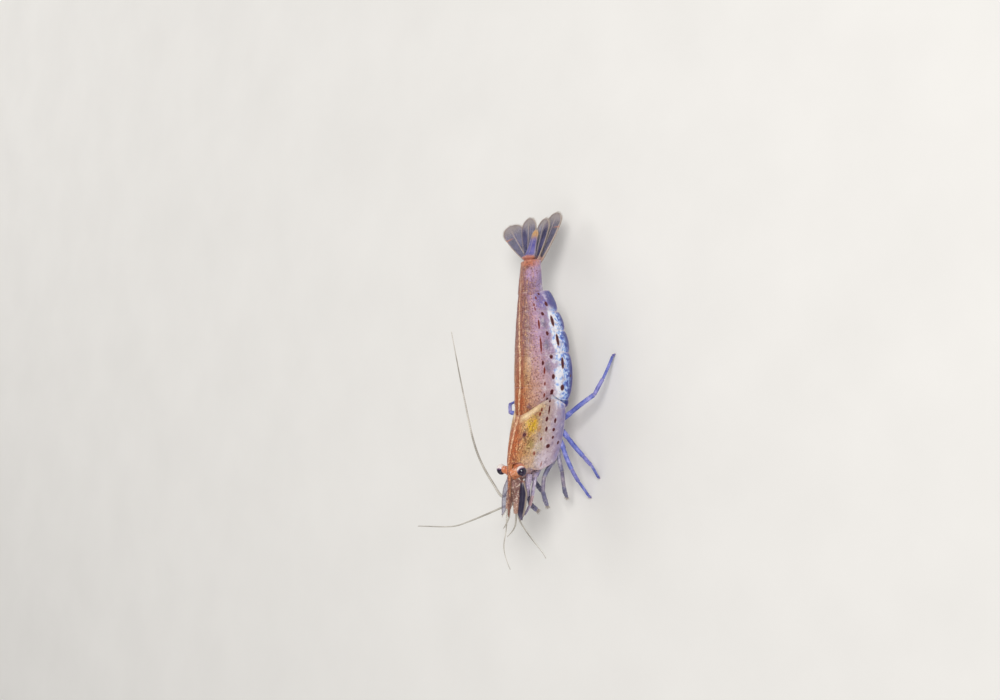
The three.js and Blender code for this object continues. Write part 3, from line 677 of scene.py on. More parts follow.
limbs = {  # deep, middle and pale tone, joints, specks, how solid, and the strength of the pale flecks
    "legCuticle": (("#4a54a6", "#717bca", "#b3b0ea"), "#b0a4cc", "#332e68", 0.93),
    "frontLegCuticle": (("#575676", "#7f7c98", "#b7afba"), "#cbbdb4", "#3a3350", 0.93),
    "mouthCuticle": (("#857ba2", "#b2a5c2", "#e4daea"), "#ecd2c4", "#4d3a58", 0.95, 0.15),
    "peduncleCuticle": (("#6a4640", "#8f6a62", "#b58f88"), "#d4ae9a", "#3c2026", 1.0, 0.72),
    "stalkCuticle": (("#c66a40", "#e08a5c", "#eeb08a"), "#e4b896", "#7f3a26", 1.0, 0.45),
}
legCuticle, frontLegCuticle, mouthCuticle, peduncleCuticle, stalkCuticle = (
    limbCuticle(name, *tones) for name, tones in limbs.items()
)


def fleshTone():
    # pale muscle under a soft skin: damp, slightly see-through, with a faint pink cast
    material, tree, spot = newMaterial("softUnderside")
    mottle = addNode(tree, "ShaderNodeTexNoise", {"Vector": spot, "Scale": 1 / (1.2 * mm), "Detail": 4.0})
    tint, brow = (
        setStops(addNode(tree, "ShaderNodeValToRGB", {"Fac": mottle}), zip((0.3, 0.55, 0.75), tones))
        for tones in (("#a07a80", "#b99a98", "#cdbcba"), ("#aa5c3a", "#d07a52", "#e0aa86"))
    )
    warm = addNode(tree, "ShaderNodeAttribute", attribute_name="warm").outputs["Fac"]
    colour = addNode(tree, "ShaderNodeMix", {"Factor": warm, "A": tint, "B": brow}, data_type="RGBA")
    grain = addNode(tree, "ShaderNodeTexNoise", {"Vector": spot, "Scale": 1 / (0.2 * mm), "Detail": 3.0})
    bump = addNode(tree, "ShaderNodeBump", {"Strength": 0.3, "Distance": 0.04 * mm, "Height": grain})
    shader = addNode(
        tree, "ShaderNodeBsdfPrincipled",
        {"Base Color": colour, "Roughness": 0.42, "Normal": bump, "IOR": 1.42, "Subsurface Weight": 0.25,
         "Subsurface Scale": 1.0 * mm, "Subsurface Radius": (1.0, 0.5, 0.4), "Coat Weight": 0.15,
         "Coat Roughness": 0.2},
    )
    return finishMaterial(material, shader)


underside = fleshTone()


def finMembrane(name, deep, pale, end, alpha):
    # a fin's blade: a film of clear chitin tinted blue-violet, stiffened by cream ribs and edges
    material, tree, spot = newMaterial(name)
    rib, tip, warm = (
        addNode(tree, "ShaderNodeAttribute", attribute_name=each).outputs["Fac"]
        for each in ("rib", "tip", "warm")
    )
    cloud = addNode(tree, "ShaderNodeTexNoise", {"Vector": spot, "Scale": 1 / (1.1 * mm), "Detail": 4.0})
    tint = setStops(addNode(tree, "ShaderNodeValToRGB", {"Fac": cloud}), [(0.34, deep), (0.68, pale)])
    colour = tint
    for mask, code in ((tip, end), (rib, "#cdb9a4"), (warm, "#cf8058")):
        colour = addNode(tree, "ShaderNodeMix", {"Factor": mask, "A": colour, "B": code}, data_type="RGBA")
    fleck = addNode(tree, "ShaderNodeTexVoronoi", {"Vector": spot, "Scale": 1 / (0.4 * mm)})
    colour = layPigment(tree, colour, fleck, (0.22, 0.1, 0.0, 0.4), "#2a2050")
    solid = addNode(
        tree, "ShaderNodeMath", {0: rib, 1: 1 - alpha, 2: alpha}, operation="MULTIPLY_ADD", use_clamp=True
    )
    grain = addNode(tree, "ShaderNodeTexNoise", {"Vector": spot, "Scale": 1 / (0.3 * mm), "Detail": 3.0})
    bump = addNode(tree, "ShaderNodeBump", {"Strength": 0.3, "Distance": 0.03 * mm, "Height": grain})
    shader = addNode(
        tree, "ShaderNodeBsdfPrincipled",
        {"Base Color": colour, "Roughness": 0.3, "Alpha": solid, "Normal": bump, "IOR": 1.45,
         "Specular IOR Level": 0.4, "Coat Weight": 0.15, "Coat Roughness": 0.12},
    )
    return finishMaterial(material, shader)


films = {  # deep and pale tone, tone of the tip, and how solid the film is between its ribs
    "finFilm": ("#39365c", "#5f5a88", "#a8988f", 0.6),
    "telsonFilm": ("#4a4694", "#7d76b2", "#cf9f68", 0.93),
    "scaleFilm": ("#221e38", "#3b3650", "#7b7088", 0.9),
    "clearFilm": ("#6a6688", "#8d88a6", "#a49cb0", 0.4),
    "paddleFilm": ("#7a7498", "#b5abc0", "#c8c0cc", 0.7),
}
finFilm, telsonFilm, scaleFilm, clearFilm, paddleFilm = (
    finMembrane(name, *tones) for name, tones in films.items()
)


def bristleTone():
    # setae: hair-thin clear chitin, which reads as pale cream
    material, tree, spot = newMaterial("setaChitin")
    vary = addNode(tree, "ShaderNodeTexNoise", {"Vector": spot, "Scale": 1 / (2.0 * mm)})
    tint = setStops(addNode(tree, "ShaderNodeValToRGB", {"Fac": vary}), [(0.3, "#a5958c"), (0.7, "#cbbfb4")])
    shader = addNode(tree, "ShaderNodeBsdfPrincipled", {"Base Color": tint, "Roughness": 0.35, "Alpha": 0.8})
    return finishMaterial(material, shader)


setaChitin = bristleTone()


def feelerTone():
    # feelers: ringed flexible cuticle, cream with a greenish cast, darker in the joints between rings
    material, tree, spot = newMaterial("feelerCuticle")
    ring = addNode(tree, "ShaderNodeAttribute", attribute_name="ring").outputs["Fac"]
    vary = addNode(tree, "ShaderNodeTexNoise", {"Vector": spot, "Scale": 1 / (3.0 * mm), "Detail": 3.0})
    tint = setStops(
        addNode(tree, "ShaderNodeValToRGB", {"Fac": vary}),
        [(0.32, "#a19b90"), (0.5, "#c4beb2"), (0.68, "#e4dfd4")],
    )
    grooved = addNode(tree, "ShaderNodeMath", {0: ring, 1: 0.35}, operation="MULTIPLY")
    colour = addNode(tree, "ShaderNodeMix", {"Factor": grooved, "A": tint, "B": "#54493c"}, data_type="RGBA")
    shader = addNode(
        tree, "ShaderNodeBsdfPrincipled",
        {"Base Color": colour, "Roughness": 0.38, "IOR": 1.45, "Coat Weight": 0.1},
    )
    return finishMaterial(material, shader)


feelerCuticle = feelerTone()


def corneaTone():
    # compound eye: a glossy clear cornea of tiny facets over nearly black pigment, pale by the stalk, where a
    # painted highlight lies over the pale rim
    material, tree, spot = newMaterial("compoundEye")
    cap = addNode(tree, "ShaderNodeAttribute", attribute_name="cap").outputs["Fac"]
    # the facets are 0.03 mm in life, drawn three times as coarse to show
    facets = addNode(
        tree, "ShaderNodeTexVoronoi", {"Vector": spot, "Scale": 1 / (0.09 * mm)}, feature="SMOOTH_F1"
    )
    bump = addNode(
        tree, "ShaderNodeBump", {"Strength": 0.3, "Distance": 0.02 * mm, "Height": facets}, invert=True
    )
    wave = addNode(tree, "ShaderNodeTexNoise", {"Vector": spot, "Scale": 1 / (0.5 * mm), "Detail": 2.0})
    # toward the stalk the ramp runs to pale cream: the rim's own pale colour with a painted highlight on it
    edge = addNode(tree, "ShaderNodeMath", {0: wave, 1: 0.24, 2: cap}, operation="MULTIPLY_ADD")
    colour = setStops(
        addNode(tree, "ShaderNodeValToRGB", {"Fac": edge}),
        [(0.0, "#2c1140"), (0.4, "#12071c"), (0.56, "#2c1640"), (0.65, "#9d7c90"), (0.75, "#efe3dc")],
    )
    shader = addNode(
        tree, "ShaderNodeBsdfPrincipled",
        {"Base Color": colour, "Roughness": 0.14, "Normal": bump, "IOR": 1.5, "Specular IOR Level": 0.4,
         "Coat Weight": 0.5, "Coat Roughness": 0.04},
    )
    return finishMaterial(material, shader)


compoundEye = corneaTone()
print("materials done")


# ---- Geometry Nodes: bristles on points, and ringed feelers along a path ----
def startTree(name, inputs):  # inputs: the values a tree takes, by name, besides its geometry and material
    tree = bpy.data.node_groups.new(name, "GeometryNodeTree")
    tree.interface.new_socket("Geometry", in_out="INPUT", socket_type="NodeSocketGeometry")
    for label, default in inputs.items():
        kind = "NodeSocketInt" if isinstance(default, int) else "NodeSocketFloat"
        tree.interface.new_socket(label, in_out="INPUT", socket_type=kind).default_value = default
    tree.interface.new_socket("Material", in_out="INPUT", socket_type="NodeSocketMaterial")
    tree.interface.new_socket("Geometry", in_out="OUTPUT", socket_type="NodeSocketGeometry")
    return tree, addNode(tree, "NodeGroupInput").outputs


def endTree(tree, shape, material):
    real = addNode(tree, "GeometryNodeRealizeInstances", {"Geometry": shape})
    dressed = addNode(tree, "GeometryNodeSetMaterial", {"Geometry": real, "Material": material})
    addNode(tree, "NodeGroupOutput", {"Geometry": dressed})
    return tree


def bristleTree():
    # one tapered, slightly bent bristle on every point, along its "lie", as long as its "reach"
    tree, given = startTree("bristles", {"Root Radius": 0.03 * mm, "Bend": 0.12, "Uneven": 0.15, "Seed": 1})
    cone = addNode(
        tree, "GeometryNodeMeshCone",
        {"Vertices": 4, "Side Segments": 3, "Radius Top": 0.12, "Radius Bottom": 1.0, "Depth": 1.0},
    )
    where = addNode(tree, "GeometryNodeInputPosition")
    axes = addNode(tree, "ShaderNodeSeparateXYZ", {0: where}).outputs
    high = addNode(tree, "ShaderNodeMath", {0: axes["Z"], 1: axes["Z"]}, operation="MULTIPLY")
    bent = addNode(tree, "ShaderNodeMath", {0: high, 1: given["Bend"]}, operation="MULTIPLY")
    offset = addNode(tree, "ShaderNodeCombineXYZ", {"X": bent})
    # widths are in root radii, and the bend in shares of a long bristle's length
    ratio = addNode(tree, "ShaderNodeMath", {0: 0.6 * mm, 1: given["Root Radius"]}, operation="DIVIDE")
    widened = addNode(tree, "ShaderNodeVectorMath", {0: offset, "Scale": ratio}, operation="SCALE")
    bristle = addNode(tree, "GeometryNodeSetPosition", {"Geometry": cone.outputs["Mesh"], "Offset": widened})
    lie = addNode(tree, "GeometryNodeInputNamedAttribute", {"Name": "lie"}, data_type="FLOAT_VECTOR")
    reach = addNode(tree, "GeometryNodeInputNamedAttribute", {"Name": "reach"}, data_type="FLOAT")
    aligned = addNode(tree, "FunctionNodeAlignRotationToVector", {"Vector": lie}, axis="Z")
    low = addNode(tree, "ShaderNodeMath", {0: 1.0, 1: given["Uneven"]}, operation="SUBTRACT")
    high = addNode(tree, "ShaderNodeMath", {0: 1.0, 1: given["Uneven"]}, operation="ADD")
    vary = addNode(
        tree, "FunctionNodeRandomValue", {"Min": low, "Max": high, "Seed": given["Seed"]}, data_type="FLOAT"
    )
    long = addNode(tree, "ShaderNodeMath", {0: reach, 1: vary}, operation="MULTIPLY")
    wide = given["Root Radius"]
    size = addNode(tree, "ShaderNodeCombineXYZ", {"X": wide, "Y": wide, "Z": long})
    placed = addNode(
        tree, "GeometryNodeInstanceOnPoints",
        {"Points": given["Geometry"], "Instance": bristle, "Rotation": aligned, "Scale": size},
    )
    return endTree(tree, placed, given["Material"])


def ringTree():
    # a tapered tube of short rings along a curve
    lengths = {"Base Radius": 0.2 * mm, "Tip Radius": 0.1 * mm, "Ring Length": 0.4 * mm}
    tree, given = startTree("rings", {**lengths, "Groove": 0.14, "Sides": 10})
    step = addNode(tree, "ShaderNodeMath", {0: given["Ring Length"], 1: 0.25}, operation="MULTIPLY")
    curve = addNode(
        tree, "GeometryNodeResampleCurve", {"Curve": given["Geometry"], "Length": step}, mode="LENGTH"
    )
    line = addNode(tree, "GeometryNodeSplineParameter").outputs
    count = addNode(tree, "ShaderNodeMath", {0: line["Length"], 1: given["Ring Length"]}, operation="DIVIDE")
    within = addNode(tree, "ShaderNodeMath", {0: count}, operation="FRACT")
    arch = addNode(tree, "ShaderNodeMath", {0: within, 1: math.pi}, operation="MULTIPLY")
    swell = addNode(tree, "ShaderNodeMath", {0: arch}, operation="SINE")
    groove = addNode(tree, "ShaderNodeMath", {0: 1.0, 1: swell}, operation="SUBTRACT")
    sharp = addNode(tree, "ShaderNodeMath", {0: groove, 1: 2.0}, operation="POWER")
    radii = {3: given["Base Radius"], 4: given["Tip Radius"]}
    taper = addNode(tree, "ShaderNodeMapRange", {0: line["Factor"], **radii})
    pinch = addNode(tree, "ShaderNodeMath", {0: sharp, 1: given["Groove"]}, operation="MULTIPLY")
    keep = addNode(tree, "ShaderNodeMath", {0: 1.0, 1: pinch}, operation="SUBTRACT")
    radius = addNode(tree, "ShaderNodeMath", {0: taper, 1: keep}, operation="MULTIPLY")
    marked = addNode(
        tree, "GeometryNodeStoreNamedAttribute", {"Geometry": curve, "Name": "ring", "Value": sharp},
        data_type="FLOAT", domain="POINT",
    )
    thick = addNode(tree, "GeometryNodeSetCurveRadius", {"Curve": marked, "Radius": radius})
    profile = addNode(
        tree, "GeometryNodeCurvePrimitiveCircle", {"Resolution": given["Sides"], "Radius": 1.0}
    )
    skin = addNode(
        tree, "GeometryNodeCurveToMesh", {"Curve": thick, "Profile Curve": profile, "Fill Caps": True}
    )
    if "Scale" in skin.inputs:  # where the mesh doesn't take its width from the curve's own radius
        tree.links.new(addNode(tree, "GeometryNodeInputRadius").outputs[0], skin.inputs["Scale"])
    return endTree(tree, skin, given["Material"])


def grow(name, source, tree, values, slotName, *nodeNames):
    # runs a tree on a source object and keeps the result as a plain mesh
    modifier = source.modifiers.new("grow", "NODES")
    modifier.node_group = tree
    for item in tree.interface.items_tree:
        if item.in_out == "INPUT" and item.name in values:
            modifier[item.identifier] = values[item.name]
    bpy.context.scene.collection.objects.link(source)
    bpy.context.view_layer.update()
    mesh = bpy.data.meshes.new_from_object(source.evaluated_get(bpy.context.evaluated_depsgraph_get()))
    mesh.name = name
    source.modifiers.remove(modifier)
    bpy.data.objects.remove(source)
    mesh.shade_smooth()
    return dress(bpy.data.objects.new(name, mesh), slotName, *nodeNames)


bristles, rings = bristleTree(), ringTree()


def growBristles(
    name, roots, lies, reaches, rootRadius, slotName, bend=0.12, uneven=0.15, seed=1, material=setaChitin
):
    mesh = bpy.data.meshes.new(name + "Roots")
    mesh.from_pydata((np.asarray(roots) * mm).tolist(), [], [])
    layer = mesh.attributes.new("lie", "FLOAT_VECTOR", "POINT")
    layer.data.foreach_set("vector", unit(np.asarray(lies, float)).astype(np.float32).ravel())
    layer = mesh.attributes.new("reach", "FLOAT", "POINT")
    layer.data.foreach_set("value", (np.asarray(reaches, float) * mm).astype(np.float32))
    values = {"Root Radius": rootRadius * mm, "Bend": bend, "Uneven": uneven, "Seed": seed}
    values["Material"] = material
    return grow(name, bpy.data.objects.new(name + "Source", mesh), bristles, values, slotName)


# ---- carapace ----
carapace = {
    "rows": 120,
    "columns": 231,
    "wall": 0.14,
    # front edge: height above the axis, and how far behind the front it lies; the notch is the eye's socket
    "frontEdge": [
        (-2.24, 1.2), (-1.2, 0.35), (-0.3, -0.1), (0.6, -0.42), (1.5, -0.45), (2.4, -0.25),
        (2.9, -0.3), (3.25, 0.1), (3.7, 0.4), (4.2, 0.42), (4.75, 0.1), (6.0, 0.1),
    ],
    "lip": 0.05,
}


def addCarapace():
    s, angle, toLow, toFront, toRear = plateGrid(
        carapaceSection,
        lambda up: body["carapaceFront"] + through(up, carapace["frontEdge"]),
        lambda up: jointLine(0, up),
        lambda s: sternum(s) + 0.35 + 0.085 * np.maximum(0, s + 2.2) ** 2,
        carapace["rows"], carapace["columns"],
    )
    degrees = np.degrees(np.abs(angle))
    keel = 0.14 * np.exp(-((degrees / 7) ** 2)) * ease(-s, 5.5, 9.5)
    gill = 0.09 * np.exp(-(((s + 4) / 3) ** 2) - ((degrees - 85) / 30) ** 2)
    furrow = s + 6.3 + 0.035 * (degrees - 30)  # the neck groove slants forward and down
    groove = -0.06 * np.exp(-((furrow / 0.3) ** 2)) * ease(degrees, 22, 35) * (1 - ease(degrees, 65, 82))
    liver = -0.05 * np.exp(-(((s + 8.1) / 0.7) ** 2) - ((degrees - 74) / 9) ** 2)
    brow = 0.07 * np.exp(-((toFront / 0.35) ** 2)) * ease(degrees, 30, 50)
    hem = 0.05 * np.exp(-((toLow / 0.16) ** 2)) + 0.1 * ease(degrees, 92, 118)
    lift = keel + gill + groove + liver + brow + hem + 0.04 * np.exp(-((toRear / 0.14) ** 2))
    section = carapaceSection(s)
    outer = ovalPoint(s, angle, section, lift)
    inner = ovalPoint(s, angle, section, lift - carapace["wall"])
    marks = bodyAttributes(s, angle, section, toLow, toFront, toRear)
    within = ease(degrees, 4, 14) * (1 - ease(degrees, 44, 64))
    marks["hem"] = np.exp(-(((toRear - 0.4) / 0.42) ** 2)) * within
    marks["rust"] = np.maximum(marks["rust"], 0.3 * np.exp(-(((toRear - 1.05) / 0.1) ** 2)) * within)
    shape = shellPart(outer, inner, carapace["lip"], **marks)
    makePiece("carapaceShell", [shape], carapaceCuticle, "shell", "carapace")


addCarapace()
print("carapace done")


# ---- rostrum ----
rostrum = {"rows": 70, "thick": 0.27, "dorsalTeeth": 20, "ventralTeeth": 8, "postTeeth": 4, "tooth": 0.085}


def rostrumEdges(s):
    base, tip = body["carapaceFront"] + 0.02, body["rostrumTip"]
    share = np.clip((base - s) / (base - tip), 0, 1)
    top = 4.98 + (3.82 - 4.98) * share**1.1
    low = through(share, [(0, 4.25), (0.3, 4.02), (0.62, 3.62), (1, 3.64)])
    return top, low, share


def addRostrum():
    # a saw-edged blade with a ridge along each side
    s = np.linspace(body["carapaceFront"] + 0.5, body["rostrumTip"], rostrum["rows"])
    top, low, share = rostrumEdges(s)
    thick = rostrum["thick"] * (1 - 0.62 * share) + 0.3 * np.exp(-((share / 0.07) ** 2))
    ring = []
    for turn in np.linspace(0, 2 * np.pi, 16, endpoint=False):
        rise = (1 - math.cos(turn)) / 2  # 0 at the upper edge, 1 at the lower one
        wide = abs(math.sin(turn)) ** 1.5 * (1.15 if abs(rise - 0.5) < 0.1 else 0.9)
        ring.append(bodyPoint(s, math.copysign(1, math.sin(turn)) * thick * wide, top + (low - top) * rise))
    degrees = np.concatenate([np.linspace(4, 60, 9), np.linspace(53, 11, 7)])  # down one side, up the other
    blade = ringBody(np.stack(ring, 1), along=s[:, None], turn=degrees, midline=30.0)
    makePiece("rostrumBlade", [blade], carapaceCuticle, "shell", "rostrum")
    upper = np.linspace(body["carapaceFront"] - 0.1, body["rostrumTip"] + 0.5, rostrum["dorsalTeeth"])
    lower = np.linspace(body["rostrumTip"] + 0.8, -13.6, rostrum["ventralTeeth"])
    after = np.linspace(-9.3, -7.6, rostrum["postTeeth"])
    top, _, share = rostrumEdges(upper)
    low = rostrumEdges(lower)[1]
    roots = np.concatenate([bodyPoint(upper, 0.0, top - 0.04), bodyPoint(lower, 0.0, low + 0.04)])
    lies = np.array([[-0.34, 0, 0.17]] * len(upper) + [[-0.34, 0, -0.13]] * len(lower))
    reaches = np.concatenate([0.44 - 0.18 * share, np.full(len(lower), 0.3)])
    ridge = bodyPoint(after, 0.0, carapaceSection(after)[0] + 0.1)
    for name, teeth, material in (
        ("rostrumTeeth", (roots, lies, reaches), peduncleCuticle),
        ("ridgeTeeth", (ridge, [[-0.36, 0, 0.16]] * len(after), [0.34] * len(after)), stalkCuticle),
    ):
        growBristles(name, *teeth, rostrum["tooth"], "shell", bend=0.0, uneven=0.06, seed=3, material=material)


addRostrum()


# ---- abdomen: five plates with side flaps, each tucked under the one in front ----
abdomen = {
    "step": 0.085,  # between rows of points
    "columns": 211,
    "tuck": 0.34,  # under the plate in front
    "over": 0.09,  # over the joint behind
    "wall": 0.13,
    "lip": 0.04,
    "notches": (1.3, 1.15),  # how high the flap's corners are cut, on the first plate and the others
}


def addPleonPlate(i):
    notch = abdomen["notches"][min(i, 1)]
    start = jointLine(i, -3.0) - (0.4 if i == 0 else 0.0)
    end = jointLine(i + 1, -3.0)
    middle, reach = (start + end) / 2, (end - start) / 2 + 0.12
    low = pleonSection(middle)[1] + notch

    def lowAt(s):
        return low - (notch - 0.05) * np.maximum(0, 1 - np.abs((s - middle) / reach) ** 2.4) ** 0.7

    rows = int((end - start + abdomen["tuck"]) / abdomen["step"]) + 8
    s, angle, toLow, toFront, toRear = plateGrid(
        pleonSection,
        lambda up: jointLine(i, up) - abdomen["tuck"],
        lambda up: jointLine(i + 1, up) + abdomen["over"],
        lowAt, rows, abdomen["columns"],
    )
    degrees = np.degrees(np.abs(angle))
    flank = ease(degrees, 62, 88)
    tucked = -0.15 * (1 - ease(toFront, 0.16, 0.5))
    flare = 0.05 * ease(degrees, 94, 130)
    arch = 0.04 * np.sin(np.pi * toFront / (toFront + toRear))
    crease = -0.035 * np.exp(-(((toFront - 0.95) / 0.12) ** 2)) * (1 - flank)
    hem = 0.04 * np.exp(-((toRear / 0.12) ** 2)) + 0.05 * np.exp(-((toLow / 0.15) ** 2))
    if i == 1:  # the second plate's flaps lie over both neighbours
        tucked = tucked * (1 - flank)
        flare = flare + 0.13 * flank
    if i == 0:  # the first plate slides in under the carapace
        tucked = (0.18 * (1 - ease(degrees, 10, 45)) - 0.3) * (1 - ease(toFront, 0.4, 1.5))
        flare = flare - 0.1 * flank
    lift = tucked + flare + arch + crease + hem
    section = pleonSection(s)
    outer = ovalPoint(s, angle, section, lift)
    inner = ovalPoint(s, angle, section, lift - abdomen["wall"])
    marks = bodyAttributes(s, angle, section, toLow, toFront + 0.5, toRear)
    shape = shellPart(outer, inner, abdomen["lip"], **marks)
    makePiece(f"pleonShell_{i + 1}", [shape], pleonCuticle, "shell", f"pleon_{i + 1}")


for i in range(5):
    addPleonPlate(i)

pleonSix = {"rows": 64, "sides": 72, "tall": (2.3, 1.6), "half": (1.75, 1.5), "girth": 1.7, "from": 14.6}


def addPleonSix():
    # the long last segment, round in section, that carries the fan
    s = np.linspace(float(jointLine(5, 1.5)) - 0.4, body["abdomenEnd"], pleonSix["rows"])
    cup = np.array([0.03, 0.04, 0.03, 0.03, 0.06, 0.08])  # soft skin closing the rear end
    inward = np.concatenate([0 * s, [0.03, 0.09, 0.16, 0.3, 0.75, 1.2]])[:, None]
    s = np.concatenate([s, body["abdomenEnd"] + cup])[:, None]
    turn = np.linspace(0, 2 * np.pi, pleonSix["sides"], endpoint=False)[None, :]
    share = np.clip((s - pleonSix["from"]) / (body["abdomenEnd"] - pleonSix["from"]), 0, 1)
    tall, half = (pleonSix[key][0] + (pleonSix[key][1] - pleonSix[key][0]) * share for key in ("tall", "half"))
    centre = pleonSection(s)[0] - tall
    rear = body["abdomenEnd"] - s
    lift = 0.05 * np.exp(-((rear / 0.16) ** 2)) - 0.12 * (1 - ease(s, s[0] + 0.3, s[0] + 0.7)) - inward
    flat = 1 - 0.12 * ease(-np.cos(turn), 0.2, 1.0)  # flatter beneath
    points = bodyPoint(s, (half + lift) * np.sin(turn), centre + (tall + lift) * flat * np.cos(turn))
    # the colours run by degrees on the plates, which end at 0.61 of the way round this closed segment
    signed = 0.61 * np.degrees(np.where(turn > np.pi, turn - 2 * np.pi, turn))
    degrees, s = np.abs(signed) + 0 * s, s + 0 * turn
    marks = {
        "along": s,
        "turn": degrees,
        "midline": midline(s, signed),
        "rim": 0.7 * np.exp(-((rear / 0.12) ** 2)),
        **{ink: spotMask(ink, s, degrees, pleonSix["girth"]) for ink in spotRows},
    }
    makePiece("pleonShell_6", [ringBody(points, **marks)], pleonCuticle, "shell", "pleon_6")


addPleonSix()
print("abdomen done")


# ---- the soft underside: one skin from the mouth to the tail ----
# s, half width, lowest and highest point above the axis
softBody = [
    (-11.95, 0.8, 2.1, 3.6), (-11.4, 1.3, 1.3, 3.95), (-10.7, 1.5, 0.6, 4.15), (-9.7, 1.95, -0.4, 4.15),
    (-8.6, 2.0, -1.9, 4.0), (-7.4, 1.85, -3.1, 3.9), (-5.0, 1.75, -3.55, 4.0), (-2.4, 1.75, -3.5, 3.8),
    (-0.6, 2.1, -2.7, 3.9), (2.0, 2.35, -2.45, 4.1), (5.5, 2.4, -2.45, 4.1), (9.0, 2.15, -2.25, 4.0),
    (12.5, 1.7, -1.7, 3.3), (15.0, 1.4, -1.0, 2.7), (17.5, 1.1, -0.3, 2.0), (19.6, 0.8, -0.3, 1.2),
]


def addUnderside():
    s = np.linspace(softBody[0][0], softBody[-1][0], 220)
    half, low, high = (through(s, [(row[0], row[k]) for row in softBody]) for k in (1, 2, 3))
    turn = np.linspace(0, 2 * np.pi, 56, endpoint=False)[None, :]
    belly = np.maximum(0, -np.cos(turn))
    # a shallow crease between the legs and between the swimming legs
    seams = np.array([-7.9, -6.5, -5.0, -3.4, 1.2, 4.3, 7.4, 10.2, 13.0])
    crease = np.exp(-(((s[:, None] - seams) / 0.22) ** 2)).sum(1)[:, None] * 0.12
    across = np.sign(np.sin(turn)) * np.abs(np.sin(turn)) ** 0.8
    middle, tall = ((low + high) / 2)[:, None], ((high - low) / 2)[:, None]
    points = bodyPoint(s[:, None], half[:, None] * across, middle + tall * np.cos(turn) + crease * belly)
    brow = ease(-s, 9.0, 9.8)[:, None] * ease(np.cos(turn), 0.2, 0.75)
    skin = ringBody(points, warm=brow)
    makePiece("softUnderside", [skin], underside, "underside", "head", "thorax")


addUnderside()
print("underside done")


# ---- tail fan ----
fan = {"at": (20.57, 0.12), "yaw": 13, "pitch": 21, "roll": 11, "rows": 110, "columns": 57}
middle = {"base": 0.2, "left": 0, "up": 0.55, "root": 1.05, "round": 0.8}
inner = {"base": 0.32, "left": 0.7, "up": -0.1, "root": 0.45, "round": 0.72}
outer = {"base": 0.6, "left": 0.95, "up": -0.72, "root": 0.5, "round": 0.76}
fins = {  # "round" is where along a blade its tip starts, "angle" how far it spreads, "lift" how much it tips up
    "telson": {**middle, "long": 5.1, "half": 0.55, "angle": 0, "lift": 0},
    "endopod_left": {**inner, "long": 7.2, "half": 1.15, "angle": 0.5, "lift": 0.02},
    "endopod_right": {**inner, "left": -0.7, "long": 7.9, "half": 1.25, "angle": 12.5, "lift": 0.03},
    "exopod_left": {**outer, "long": 8.2, "half": 1.45, "angle": 9.5, "lift": 0.03},
    "exopod_right": {**outer, "left": -0.95, "long": 8.5, "half": 1.6, "angle": 37, "lift": 0.13},
}
stalkPlaces = [(-0.8, 0.55, -0.35), (-0.2, 0.68, -0.4), (0.4, 0.82, -0.42), (0.9, 0.95, -0.45), (1.15, 1.0, -0.5)]


def turnMatrix(axis, degrees):
    c, s = math.cos(math.radians(degrees)), math.sin(math.radians(degrees))
    rows = {
        "X": [[1, 0, 0], [0, c, -s], [0, s, c]],
        "Y": [[c, 0, s], [0, 1, 0], [-s, 0, c]],
        "Z": [[c, -s, 0], [s, c, 0], [0, 0, 1]],
    }
    return np.array(rows[axis], float)


fanTurn = turnMatrix("Z", fan["yaw"]) @ turnMatrix("Y", fan["pitch"]) @ turnMatrix("X", fan["roll"])


def fanPoint(along, left, up):
    along, left, up = np.broadcast_arrays(np.asarray(along, float), left, up)
    moved = np.stack([along, -left, up], -1) @ fanTurn.T
    moved = moved + np.array([fan["at"][0], float(axisY(body["abdomenEnd"])), fan["at"][1]])
    return place(moved[..., 0], -moved[..., 1], moved[..., 2])


def finPoint(fin, t, v, lift=0.0):  # t from root to tip, v from the inner edge -1 to the outer edge 1
    sign = math.copysign(1, fin["left"]) if fin["left"] else 1.0
    grown = fin["root"] + (fin["half"] - fin["root"]) * np.sin(np.pi / 2 * np.clip(t / 0.8, 0, 1))
    past = np.clip((t - fin["round"]) / (1 - fin["round"]), 0, 1)
    grown = grown * (1 - 0.42 * ease(-t, -0.03, 0.08))  # drawn in where it roots
    width = np.maximum(grown * np.sqrt(1 - past**2.3), 0.05)
    across = v * sign * width
    along = t * fin["long"]
    turn = math.radians(fin["angle"])
    rise = fin["lift"] * along * (0.5 + across * sign / (2 * fin["half"])) - 0.02 * along
    return fanPoint(
        fin["base"] + along * math.cos(turn) - across * math.sin(turn) * sign,
        fin["left"] + sign * along * math.sin(turn) + across * math.cos(turn),
        fin["up"] + rise + lift,
    ), width


